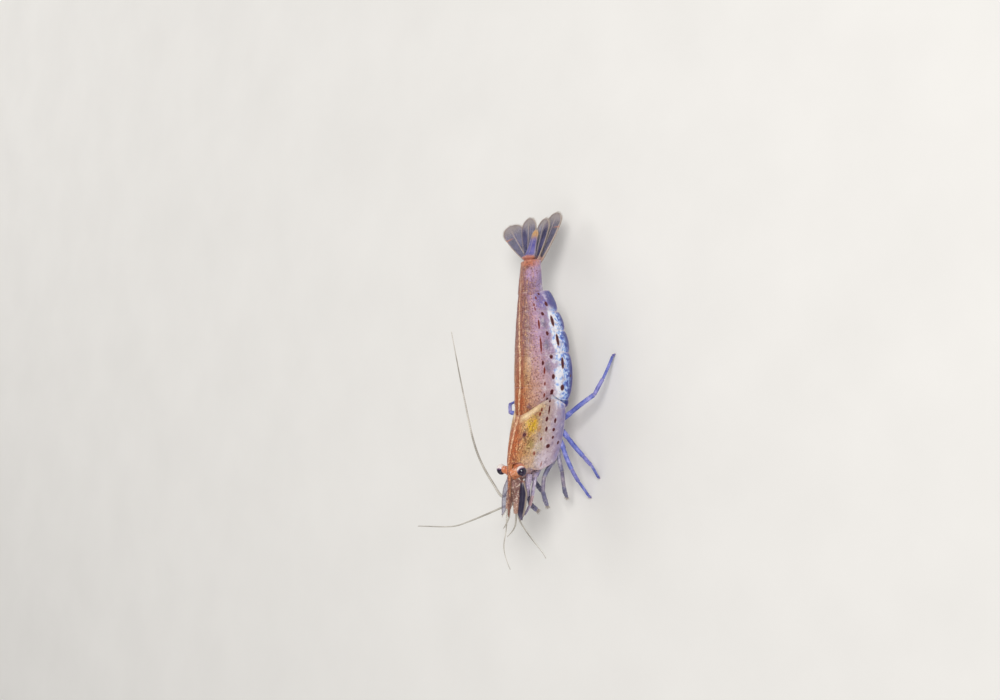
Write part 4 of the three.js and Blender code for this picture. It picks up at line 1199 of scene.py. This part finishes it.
def addFin(name, fin):
    telson, outerBlade = name == "telson", name.startswith("exopod")
    t = (1 - (1 - np.linspace(0, 1, fan["rows"])) ** 1.5)[:, None] * 1.1 - 0.1  # closer together at the tip
    t = np.minimum(t, 0.9995)
    v = np.linspace(-1, 1, fan["columns"])[None, :]
    width = finPoint(fin, t, 0 * v)[1]
    toEdge = (1 - np.abs(v)) * width
    edge = np.exp(-((toEdge / 0.07) ** 2)) + np.exp(-(((1 - t) * fin["long"] / 0.08) ** 2))
    rib = np.exp(-(((v - (0.1 if outerBlade else 0.0)) * width / 0.07) ** 2)) * (1 - ease(t, 0.74, 0.93))
    if outerBlade:
        edge = edge + 1.2 * np.exp(-(((1 - v) * width / 0.14) ** 2)) * (1 - ease(t, 0.7, 0.8))
        rib = rib + 0.5 * np.exp(-(((v + 0.4) * width / 0.05) ** 2)) * (1 - ease(t, 0.4, 0.7))
    suture = np.exp(-(((t - 0.68 - 0.025 * v) / 0.012) ** 2)) if outerBlade else 0 * t * v
    rays = 0.22 * np.maximum(0, np.cos(v * 34)) ** 8 * ease(t, 0.5, 0.85) * (0 if telson else 1)
    ridge = np.clip(rib + edge + rays + 0 * t, 0, 1)
    thick = 0.05 + 0.06 * ridge + 0.05 * (1 - t) - 0.03 * suture
    thick = thick * ease(1 - t, -0.01, 0.03) + 0.015
    swell = 0.5 * ease(-t, -0.2, 0.02) - 0.5 * ease(-t, 0.02, 0.1)
    dome = (0.3 * (1 - v**2) * (1 - 0.6 * t) + swell) if telson else 0.07 * (1 - v**2)
    outer = finPoint(fin, t, v, dome + thick)[0]
    inner = finPoint(fin, t, v, dome * (0.3 if telson else 1) - thick)[0]
    warm = suture * ease(v, 0.0, 0.8) + (1 - ease(t, -0.01, 0.11)) * (0.8 if telson else 0.4)
    tip = ease(t, 0.6, 0.85) if telson else 0.7 * ease(t, 0.66, 0.95)
    shade = ridge * (0.4 if telson else 0.75)
    shapes = [shellPart(outer, inner, 0.015, rib=shade, tip=tip + 0 * v, warm=warm + 0 * v)]
    if outerBlade:  # the short stalk that both blades of a side stand on
        sign = math.copysign(1, fin["left"])
        path = np.stack([fanPoint(along, sign * left, up) for along, left, up in stalkPlaces])
        share = np.linspace(0, 1, 20)
        thick = through(share, [(0, 0.1), (0.1, 0.5), (0.6, 0.52), (0.9, 0.4), (1, 0.05)])
        level = np.ones_like(share)
        shapes.append(
            tube(smoothPath(path, 20), thick, 16, 0.8, rib=0.45 * level, tip=0 * level, warm=0.35 * level)
        )
    film, slotName = (telsonFilm, "shell") if telson else (finFilm, "fin")
    makePiece(name + "Blade", shapes, film, slotName, name)


def finFringe(name, fin):
    # roots and directions of the hairs round the end and inner side of a blade
    sweep = 1 - np.linspace(0, 1, 70) ** 2 * 0.7
    t = np.concatenate([sweep, sweep[:46]])
    v = np.concatenate([np.full(70, -1.0), np.full(46, 1.0)])
    dome = 0.26 * (1 - v**2) * 0.4 if name == "telson" else 0.06 * (1 - v**2)
    roots = finPoint(fin, t, v * 0.98, dome)[0]
    centre = finPoint(fin, np.maximum(t - 0.12, 0), v * 0.55, dome)[0]
    reach = 0.36 * ease(t, 0.25, 0.6) + 0.08
    if name == "telson":
        keep = t > 0.95
        return roots[keep], (roots - centre)[keep], reach[keep]
    return roots, roots - centre, reach


for name, fin in fins.items():
    addFin(name, fin)
fringe = [finFringe(name, fin) for name, fin in fins.items()]
growBristles("fanFringe", *map(np.concatenate, zip(*fringe)), 0.022, "fin", bend=0.1, seed=11)
print("tail fan done")


# ---- eyes on their stalks ----
eye = {
    "s": {"left": -10.35, "right": -10.8},
    "left": 2.19,
    "up": 4.2,
    "long": 0.82,
    "round": 0.7,
    # the yaw also sets where each eye's pale rear half, which carries a painted highlight, shows
    "yaw": {"left": 50, "right": -12},
    "stalk": [(0, 0.06), (0.05, 0.5), (0.25, 0.56), (0.5, 0.59), (0.72, 0.6), (0.86, 0.56), (0.95, 0.46), (1, 0.25)],
}


def closePoles(piece):  # merges the rows of points that meet at a pole
    shape = bmesh.new()
    shape.from_mesh(piece.data)
    bmesh.ops.remove_doubles(shape, verts=shape.verts, dist=1e-7)
    bmesh.ops.recalc_face_normals(shape, faces=shape.faces)
    shape.to_mesh(piece.data)
    shape.free()


def addEye(side, sign):
    centre = bodyPoint(eye["s"][side], sign * eye["left"], eye["up"])
    polar = np.linspace(0, np.pi, 44)[:, None]
    turn = np.linspace(0, 2 * np.pi, 64, endpoint=False)[None, :]
    x = -np.cos(polar) + 0 * turn  # -1 in front, 1 behind
    wide = eye["round"] * np.sin(polar)
    local = np.stack([x * eye["long"], wide * np.cos(turn), wide * np.sin(turn)], -1)
    points = local @ turnMatrix("Z", sign * eye["yaw"][side]).T + centre
    faces = sheetFaces(*points.shape[:2], wrap=True)
    # front to rear of the eye; the pale rear half is the rim by the stalk with a painted highlight on it
    ball = part(points, faces, cap=np.clip((x.ravel() + 0.9) / 1.9, 0, 1))
    piece = makePiece(f"eyeBall_{side}", [ball], compoundEye, "cornea", f"eye_{side}")
    closePoles(piece)
    knots = [bodyPoint(-10.9, sign * 0.25, 4.1), bodyPoint(-10.75, sign * 0.95, 4.15)]
    path = smoothPath(knots + [bodyPoint(eye["s"][side] + 0.08, sign * 1.85, 4.2)], 30)
    share = np.linspace(0, 1, 30)
    radii = through(share, eye["stalk"])
    stalk = tube(path, radii, 24, 0.92, warm=0 * share, joint=0.45 * ease(share, 0.7, 0.98))
    makePiece(f"eyeStalk_{side}", [stalk], stalkCuticle, "limb", f"eyestalk_{side}")


for side, sign in (("left", 1), ("right", -1)):
    addEye(side, sign)
print("eyes done")


# ---- feeler bases and scales ----
limbProfile = [(0, 0.4), (0.03, 0.78), (0.12, 0.9), (0.35, 1.0), (0.7, 1.0), (0.9, 0.99), (0.97, 0.93), (1, 0.5)]


def segment(a, b, radius, taper=1.0, bow=0.0, flat=1.0, sides=16, warm=0.0, count=22):
    # one stiff length of a limb: narrow where it enters the one before, flared at its far rim
    a, b = np.asarray(a, float), np.asarray(b, float)
    a = a - unit(b - a) * min(0.3, radius * 0.55)  # it starts inside the length before
    t = np.linspace(0, 1, count)
    wide = through(t, limbProfile)
    path = a + (b - a) * t[:, None] + np.array([0, 0, bow]) * np.sin(np.pi * t)[:, None]
    joint = np.maximum(1 - ease(t, 0, 0.06), ease(t, 0.94, 1.0))
    return tube(path, radius * wide * (1 + (taper - 1) * t), sides, flat, joint=joint, warm=warm + 0 * t)


antennule = {
    "reach": {"left": -16.9, "right": -16.5},
    "out": {"left": (0.62, 0.74, 0.9, 1.1), "right": (0.62, 0.67, 0.7, 0.78)},
    # each length: radius, taper, flatness, and how warm its colour is
    "lengths": [(0.72, 0.98, 0.74, 0.0), (0.67, 0.92, 0.84, 0.05), (0.57, 0.74, 0.94, 0.12)],
}
scale = {
    "from": -11.85,
    "to": -17.6,
    "inner": 1.3,
    "outer": {1: 2.7, -1: 2.45},
    "up": 3.32,
    "slope": 0.16,
    "rows": 90,
    "columns": 45,
}


def addFeelerBases(side, sign):
    ends = [(-11.5, 3.05), (-13.75, 3.16), (-15.4, 3.22), (antennule["reach"][side], 3.25)]
    joints = [bodyPoint(s, sign * left, up) for (s, up), left in zip(ends, antennule["out"][side])]
    lengths = [
        segment(a, b, radius, taper, flat=flat, warm=warm)
        for a, b, (radius, taper, flat, warm) in zip(joints, joints[1:], antennule["lengths"])
    ]
    lengths[2]["attributes"]["joint"] = lengths[2]["attributes"]["joint"] * 0.4 + 0.6  # the last length is pale
    t = np.linspace(0, 1, 12)  # along the pointed scale beside the first length
    spur = bodyPoint(-12.0, sign * 1.1, 3.1) * (1 - t[:, None]) + bodyPoint(-13.9, sign * 1.3, 3.25) * t[:, None]
    lengths.append(tube(spur, 0.16 * (1 - t) + 0.01, 8, joint=0 * t, warm=0 * t))
    makePiece(f"antennuleBase_{side}", lengths, peduncleCuticle, "limb", f"antennule_{side}")
    ends = [(-11.2, 1.5, 1.95), (-12.3, 1.72, 2.15), (-13.2, 1.85, 2.3), (-14.15, 1.98, 2.44)]
    joints = [bodyPoint(s, sign * left, up) for s, left, up in ends]
    radii = (0.54, 0.44, 0.35)
    lengths = [segment(a, b, radius, taper=0.9, warm=0.08) for a, b, radius in zip(joints, joints[1:], radii)]
    makePiece(f"antennaBase_{side}", lengths, mouthCuticle, "limb", f"antenna_{side}")


def scalePoint(sign, u, v, lift=0.0):  # v 0 on the inner edge, 1 on the outer one
    s = scale["from"] + (scale["to"] - scale["from"]) * u
    t = 0.97 * u
    outer = 1.85 + (scale["outer"][sign] - 1.85) * ease(t, 0, 0.35) - 0.28 * ease(t, 0.55, 1)
    inner = scale["inner"] + (0.8 if sign > 0 else 0.5) * np.maximum(0, (t - 0.7) / 0.27) ** 2.5
    middle = inner + (outer - inner) * 0.55
    close = np.sqrt(1 - np.clip((t - 0.8) / 0.173, 0, 0.985) ** 2.4)  # the tip is round
    close = close * (0.4 + 0.6 * np.sqrt(np.clip(u / 0.1, 0, 1)))  # and so is the root
    inner, outer = middle + (inner - middle) * close, middle + (outer - middle) * close
    arch = 0.16 * (1 - (2 * v - 1) ** 2) - 0.08
    return bodyPoint(s, sign * (inner + (outer - inner) * v), scale["up"] - scale["slope"] * v + arch + lift)


def addScale(side, sign):
    u = np.linspace(0, 1, scale["rows"])[:, None]
    v = np.linspace(0, 1, scale["columns"])[None, :]
    outerRib = np.exp(-(((1 - v) / 0.09) ** 2)) * (1 - ease(u, 0.86, 0.95))
    middleRib = 0.25 * np.exp(-(((v - 0.6) / 0.04) ** 2)) * (1 - ease(u, 0.7, 0.95))
    edge = 0.7 * np.exp(-((v / 0.05) ** 2)) + np.exp(-(((1 - u) / 0.015) ** 2))
    ridge = np.clip(outerRib + middleRib + edge, 0, 1)
    thick = 0.05 + 0.07 * ridge
    tip, warm = 0.5 * ease(u, 0.75, 1), 0.4 * np.exp(-((u / 0.06) ** 2))
    shape = shellPart(
        scalePoint(sign, u, v, thick), scalePoint(sign, u, v, -thick), 0.02,
        rib=0.24 * ridge + 0.3 * outerRib, tip=tip, warm=warm,
    )
    makePiece(f"scaleBlade_{side}", [shape], scaleFilm if sign > 0 else clearFilm, "fin", f"scale_{side}")
    inner = 1 - 0.8 * np.linspace(0, 1, 44) ** 1.5
    tips = np.linspace(0.86, 1.0, 16)
    where = np.concatenate([scalePoint(sign, inner, 0 * inner), scalePoint(sign, tips, 0 * tips + 1)])
    inward = bodyPoint(-14.6, sign * 0.35, 3.3) - bodyPoint(-14.0, sign * 1.32, 3.3)
    ahead = bodyPoint(-18.2, sign * 1.9, 3.2) - bodyPoint(-17.4, sign * 1.95, 3.2)
    swept = inward * 0.5 + ahead * ease(inner, 0.5, 1)[:, None]
    lies = np.concatenate([swept, np.tile(ahead, (len(tips), 1))])
    return where, lies, np.full(len(lies), 0.42)


hairs = []
for side, sign in (("left", 1), ("right", -1)):
    addFeelerBases(side, sign)
    hairs.append(addScale(side, sign))
growBristles("scaleFringe", *map(np.concatenate, zip(*hairs)), 0.018, "fin", seed=5)
print("feeler bases done")

# each feeler: radius at its root and tip, ring length, and the places it passes as s, left, up
feelers = {
    "feeler_inner_left": (0.13, 0.05, 0.26, [
        (-16.6, 0.74, 3.28), (-18.0, 1.25, 3.0), (-19.9, 3.15, 2.6), (-22.0, 5.3, 1.8), (-22.7, 5.8, 1.55),
    ]),
    "feeler_outer_left": (0.19, 0.06, 0.26, [
        (-16.6, 0.42, 3.2), (-18.5, 0.55, 3.3), (-19.3, 0.5, 3.6), (-20.4, -0.1, 4.1),
    ]),
    "feeler_inner_right": (0.13, 0.05, 0.26, [
        (-16.2, -1.5, 3.28), (-17.8, -1.3, 3.45), (-19.4, -0.85, 3.75), (-22.0, -0.65, 4.1), (-23.8, -0.3, 3.7),
        (-25.2, 0.3, 3.3),
    ]),
    "feeler_outer_right": (0.19, 0.07, 0.26, [(-16.2, -1.14, 3.22), (-17.7, -0.75, 3.5), (-19.2, -0.5, 4.6)]),
    "flagellum_right": (0.22, 0.07, 0.32, [
        (-13.7, -2.4, 2.4), (-14.9, -3.4, 2.65), (-13.1, -5.3, 3.2), (-10.3, -7.5, 3.9), (-7.4, -8.9, 4.5),
        (-0.1, -11.0, 5.7), (9.0, -13.0, 7.4),
    ]),
    "flagellum_left": (0.21, 0.07, 0.32, [
        (-13.75, 1.48, 2.4), (-15.0, 0.6, 1.95), (-16.4, -3.6, 1.8), (-18.1, -7.1, 2.2), (-19.7, -10.4, 2.8),
        (-20.8, -12.9, 3.6), (-21.4, -17.4, 7.0),
    ]),
}


def addFeeler(name, base, tip, ring, places):
    path = smoothPath([place(*each) for each in places], 90) * mm
    line = bpy.data.curves.new(name + "Path", "CURVE")
    line.dimensions = "3D"
    spline = line.splines.new("POLY")
    spline.points.add(len(path) - 1)
    weighted = np.concatenate([path, np.ones((len(path), 1))], 1)
    spline.points.foreach_set("co", weighted.astype(np.float32).ravel())
    values = {"Base Radius": base * mm, "Tip Radius": tip * mm, "Ring Length": ring * mm}
    values.update({"Groove": 0.08, "Sides": 10, "Material": feelerCuticle})
    source = bpy.data.objects.new(name + "Source", line)
    grow(name.replace("_", "Rings_", 1), source, rings, values, "feeler", name)


for name, values in feelers.items():
    addFeeler(name, *values)
print("feelers done")


# ---- legs ----
hip = -2.95  # height of the legs' first joints
floor = -body["standHeight"]
below = (0, 0, -1)
legTable = {  # for each leg, front to rear: its first joint, the next ones and its tip, as s, left, up
    "left": [
        [
            (-8.55, 1.7, hip + 0.6), (-11.4, 1.65, -0.65), (-13.5, 1.85, -0.5),
            (-14.6, 1.95, -0.9), (-15.8, 2.1, -1.5),
        ],
        [
            (-7.2, 1.85, hip + 0.2), (-10.4, 3.0, -3.0), (-12.5, 3.1, -3.5),
            (-13.4, 2.8, -4.1), (-14.4, 2.5, -5.0),
        ],
        [
            (-5.85, 2.1, hip), (-9.9, 4.5, -3.5), (-11.6, 4.9, -4.7),
            (-13.7, 5.3, -6.7), (-13.9, 5.4, floor),
        ],
        [
            (-4.2, 2.15, hip), (-7.75, 6.0, -4.2), (-8.9, 6.9, -5.0),
            (-10.6, 6.8, -6.7), (-10.8, 6.8, floor),
        ],
        [
            (-2.6, 2.1, hip), (1.6, 7.0, -4.3), (4.0, 7.65, -5.1),
            (7.5, 7.7, -6.7), (7.75, 7.7, floor),
        ],
    ],
    "right": [
        [
            (-8.55, -1.75, hip + 0.6), (-11.6, -1.5, -0.6), (-14.6, -1.1, -0.4),
            (-15.7, -0.4, -0.3), (-16.6, 1.1, -0.75),
        ],
        [
            (-7.2, -1.9, hip + 0.2), (-10.2, -3.2, -2.9), (-12.3, -3.3, -3.3),
            (-13.3, -2.9, -4.0), (-14.3, -2.5, -4.8),
        ],
        [
            (-5.85, -2.1, hip), (-9.2, -5.3, -2.9), (-10.7, -6.2, -4.2),
            (-12.5, -7.0, -6.7), (-12.7, -7.1, floor),
        ],
        [
            (-4.2, -2.15, hip), (-6.9, -6.3, -2.5), (-7.7, -7.9, -3.8),
            (-8.4, -8.7, -6.7), (-8.5, -8.8, floor),
        ],
        [
            (-2.6, -2.1, hip), (-2.5, -6.9, -0.6), (-1.3, -8.7, -2.1),
            (0.3, -9.5, -6.7), (0.4, -9.55, floor),
        ],
    ],
}
legs = {
    "walking": (0.38, 0.32, 0.26),  # radii of the long lengths
    "clawed": (0.37, 0.32, 0.35),
    "split": 0.27,  # where the first long stretch is jointed
    "finger": [(0, 0.05), (0.06, 0.18), (0.4, 0.19), (0.85, 0.13), (1, 0.02)],
    "toe": [(0, 0.05), (0.08, 0.17), (0.4, 0.14), (0.7, 0.09), (0.92, 0.05), (1, 0.02)],
    "brush": {"hairs": 26, "long": 0.55},
}
spines = {"roots": [], "lies": [], "reaches": []}


def addSpines(a, b, radius, count, reach, toward, slant=0.7, spread=0.0, bow=0.0):
    # a row of spines along one side of a length of limb, leaning to its far end
    a, b = np.asarray(a, float), np.asarray(b, float)
    forward = unit(b - a)
    side = np.asarray(toward, float)
    side = unit(side - forward * side.dot(forward))
    cross = np.cross(forward, side)
    for k, t in enumerate(np.linspace(0.12, 0.94, count)):
        lean = unit(side + cross * spread * (-1) ** k)
        bowed = np.array([0, 0, bow * math.sin(math.pi * t)])
        spines["roots"].append(a + (b - a) * t + bowed + lean * radius * 0.8)
        spines["lies"].append(lean + forward * slant)
        spines["reaches"].append(reach)


def addClaw(palm, tip):  # two fingers, each with a brush of bristles at its end
    fingers = []
    forward = unit(tip - palm)
    across = unit(np.cross(forward, [0, 0, 1]))
    gape, third = across * 0.16, np.cross(forward, across)
    t = np.linspace(0, 1, 20)
    for turn in (1, -1):
        path = palm - forward * 0.1 + (tip - palm) * t[:, None] * 1.02
        path = path + gape * turn * (0.75 + 0.5 * np.sin(np.pi * t))[:, None]
        fingers.append(tube(path, through(t, legs["finger"]), 12, joint=ease(t, 0.75, 1), warm=0 * t))
        for k, around in enumerate(np.linspace(0, 2 * np.pi, legs["brush"]["hairs"], endpoint=False)):
            out = across * math.cos(around) + third * math.sin(around)
            spines["roots"].append(path[-3 - k % 4] + out * 0.06)
            spines["lies"].append(forward + out * 0.45)
            spines["reaches"].append(legs["brush"]["long"])
    return fingers


def addToe(toe, tip, ahead):  # the curved claw that a walking leg stands on
    t = np.linspace(0, 1, 16)
    path = toe - ahead * 0.1 + (tip - toe + ahead * 0.1) * t[:, None]
    path = path + ahead * 0.16 * np.sin(np.pi * t)[:, None]
    thick = through(t, legs["toe"])
    path[:, 2] = np.maximum(path[:, 2], thick)  # not through the floor
    addSpines(toe, toe + (tip - toe) * 0.7, 0.1, 5, 0.12, -ahead, slant=0.6)
    return tube(path, thick, 12, joint=0 * t, warm=0.1 + 0.55 * ease(t, 0.4, 0.9))


def addLeg(side, number, places):
    root, knee, wrist, end, tip = (place(*each) for each in places)
    sign = 1 if side == "left" else -1
    clawed = number < 3
    radii = legs["clawed"] if clawed else legs["walking"]
    inside = root + np.array([0.1, sign * 0.55, 0.35])
    split = root + (knee - root) * legs["split"]
    lengths = [
        segment(inside, root + (root - inside) * 0.25, 0.52, sides=18, warm=0.1),
        segment(root, split, 0.42),
        segment(split, knee, radii[0], taper=0.9, bow=0.12, flat=0.9, sides=18, count=34),
        segment(knee, wrist, radii[1], taper=0.93, bow=0.05, flat=0.92, warm=0.08, count=28),
    ]
    if clawed:
        lengths.append(segment(wrist, end, radii[2], taper=1.1, flat=0.8, count=26))
        lengths += addClaw(end, tip)
        addSpines(knee, wrist, radii[1], 5, 0.22, below, bow=0.05)
    else:
        lengths.append(segment(wrist, end, radii[2], taper=0.85, bow=-0.06, flat=0.85, count=40))
        addSpines(split, knee, radii[0], 4, 0.3, below, slant=1.1, bow=0.12)
        addSpines(wrist, end, radii[2] * 0.9, 16, 0.17, below, slant=0.9, spread=0.5)
        lengths.append(addToe(end, tip, unit(end - wrist)))
    tone = frontLegCuticle if clawed else legCuticle
    makePiece(f"leg{number}Lengths_{side}", lengths, tone, "limb", f"leg_{number}_{side}")


for side, rows in legTable.items():
    for number, places in enumerate(rows, 1):
        addLeg(side, number, places)


jawLeg = [
    (-9.6, 0.8, -0.75), (-11.4, 0.85, 0.35), (-14.3, 0.95, 0.75), (-15.7, 0.85, 1.0), (-17.2, 0.35, 1.4)
]


def addJawLeg(side, sign):
    root, elbow, wrist, end, tip = (place(s, sign * left, up) for s, left, up in jawLeg)
    lengths = [
        segment(root + np.array([0.5, 0, -0.2]), elbow, 0.38, bow=0.05),
        segment(elbow, wrist, 0.33, taper=0.9, flat=0.8, bow=0.06, count=34),
        segment(wrist, end, 0.3, taper=0.9, flat=0.8, warm=0.45),
        segment(end, tip, 0.26, taper=0.5, flat=0.8, count=26),
    ]
    inward = (0, sign * 1.0, -0.6)
    addSpines(wrist, end, 0.26, 12, 0.4, inward, slant=0.9, spread=0.3)
    addSpines(end, tip, 0.2, 16, 0.36, inward, slant=0.9, spread=0.4)
    makePiece(f"jawLegLengths_{side}", lengths, mouthCuticle, "limb", f"jaw_leg_{side}")


for side, sign in (("left", 1), ("right", -1)):
    addJawLeg(side, sign)
growBristles("legSpines", *spines.values(), 0.028, "limb", bend=0.06, seed=7)
print("legs done")


# ---- mouthparts: folded lobes between the jaw legs and the feelers ----
mouthLobes = [(-9.7, 0.55, -0.2, 1.9, 0.3), (-10.0, 0.95, 0.3, 1.7, 0.32), (-10.4, 0.45, 0.5, 1.3, 0.28)]


def addMouthparts():  # each lobe: s, left and up of its root, its length and its thickness
    lobes = []
    t = np.linspace(0, 1, 22)
    for sign in (1, -1):
        for s, left, up, long, thick in mouthLobes:
            sideways = sign * (left - 0.25 * np.sin(2.4 * t))
            path = place(s - long * t, sideways, up + 0.5 * t - 0.35 * np.sin(np.pi * t))
            wide = through(t, [(0, 0.04), (0.08, 0.8), (0.5, 1.0), (0.85, 0.7), (1, 0.1)]) * thick
            lobes.append(tube(path, wide, 14, flat=0.6, joint=0.3 * t, warm=0.25 * (1 - t)))
    makePiece("mouthLobes", lobes, mouthCuticle, "limb")


addMouthparts()


# ---- swimming legs: a stalk and two fringed blades under each side plate ----
# wide and apart: shares of the room under the plate; start: where on the stalk the blades begin
paddles = {"count": 5, "rows": 34, "columns": 13, "wide": 0.27, "apart": 0.17, "start": 0.36, "hairs": 16}


def addPaddle(number, side, sign):
    i = number - 1
    first, last = jointLines[0][0] - 1.0, jointLines[4][0] - 1.5
    s0 = first + (last - first) * i / (paddles["count"] - 1)
    size = 1 - 0.07 * i
    room = float(pleonSection(s0)[2]) * math.sin(body["lowest"]) - 0.6
    belly = float(pleonBelly(s0)) - 0.1

    def along(u, across, lift):
        drop = 1.7 * size * np.sin(1.45 * u)
        return bodyPoint(s0 + 2.3 * u * size, sign * 0.46 * room + across, belly - drop + lift)

    def blade(u, turn):  # middle line and half width of a blade
        share = (u - paddles["start"]) / (1 - paddles["start"])
        oval = np.clip(np.sin(np.pi * (0.06 + 0.92 * share)), 0.02, 1)
        return turn * paddles["apart"] * room * (0.4 + share), paddles["wide"] * room * np.sqrt(oval), share

    t = np.linspace(0, 1, 18)
    stalk = tube(along(0.42 * t, 0 * t, 0 * t), through(t, [(0, 0.2), (0.1, 0.34), (0.8, 0.3), (1, 0.1)]), 14)
    blades, roots, lies = [stalk], [], []
    u = np.linspace(paddles["start"], 1.0, paddles["rows"])[:, None]
    v = np.linspace(-1, 1, paddles["columns"])[None, :]
    rib = np.clip(np.exp(-((v / 0.12) ** 2)) + np.exp(-(((1 - np.abs(v)) / 0.12) ** 2)), 0, 1)
    thick = 0.03 + 0.03 * rib
    spots = np.linspace(0.5, 0.99, paddles["hairs"])
    for turn, drop in ((1, 0.0), (-1, -0.14)):
        middle, width, share = blade(u, turn)
        faces = [along(u, middle + v * width, drop + lift) for lift in (thick, -thick)]
        blades.append(shellPart(*faces, 0.01, rib=0.6 * rib, tip=share))
        middle, width, share = blade(spots, turn)
        for edge in (-1, 1):
            at = along(spots, middle + edge * width, drop)
            roots.append(at)
            lies.append(at - along(spots - 0.12, middle + edge * width * 0.4, drop))
    makePiece(f"paddle{number}_{side}", blades, paddleFilm, "fin", f"pleopod_{number}_{side}")
    return np.concatenate(roots), np.concatenate(lies)


hairs = [
    addPaddle(number, side, sign)
    for number in range(1, paddles["count"] + 1)
    for side, sign in (("left", 1), ("right", -1))
]
roots, lies = map(np.concatenate, zip(*hairs))
growBristles("paddleFringe", roots, lies, np.full(len(roots), 0.5), 0.016, "fin", seed=9)
print("swimming legs done")


# ---- spines on the shell: beside each eye socket, at the front corner, on the telson and outer fins ----
def addShellSpines():
    roots, lies, reaches = [], [], []
    for sign in (1, -1):
        for angle, s in ((63, -9.98), (116, -8.45)):
            turn = math.radians(angle) * sign
            at = np.array(s)
            roots.append(ovalPoint(at, turn, carapaceSection(at), 0.03))
            lies.append(bodyPoint(at - 1.0, 0, 0) - bodyPoint(at, 0, 0) + np.array([0, -sign * 0.12, 0]))
            reaches.append(0.42 if angle < 90 else 0.22)
        for t in (0.5, 0.6, 0.7, 0.8, 0.9):
            roots.append(finPoint(fins["telson"], np.array(t), np.array(0.62 * sign), 0.3)[0])
            lies.append(fanTurn @ np.array([1.0, -0.25 * sign, 0.35]))
            reaches.append(0.24)
        fin = fins["exopod_left" if sign > 0 else "exopod_right"]
        before, spot = (finPoint(fin, np.array(t), np.array(0.99), 0.05)[0] for t in (0.5, 0.695))
        roots.append(spot)
        lies.append(spot - before)
        reaches.append(0.4)
    growBristles(
        "shellSpines", roots, lies, reaches, 0.06, "shell", bend=0.0, uneven=0.05, seed=2, material=mouthCuticle
    )


addShellSpines()
print("spines done")
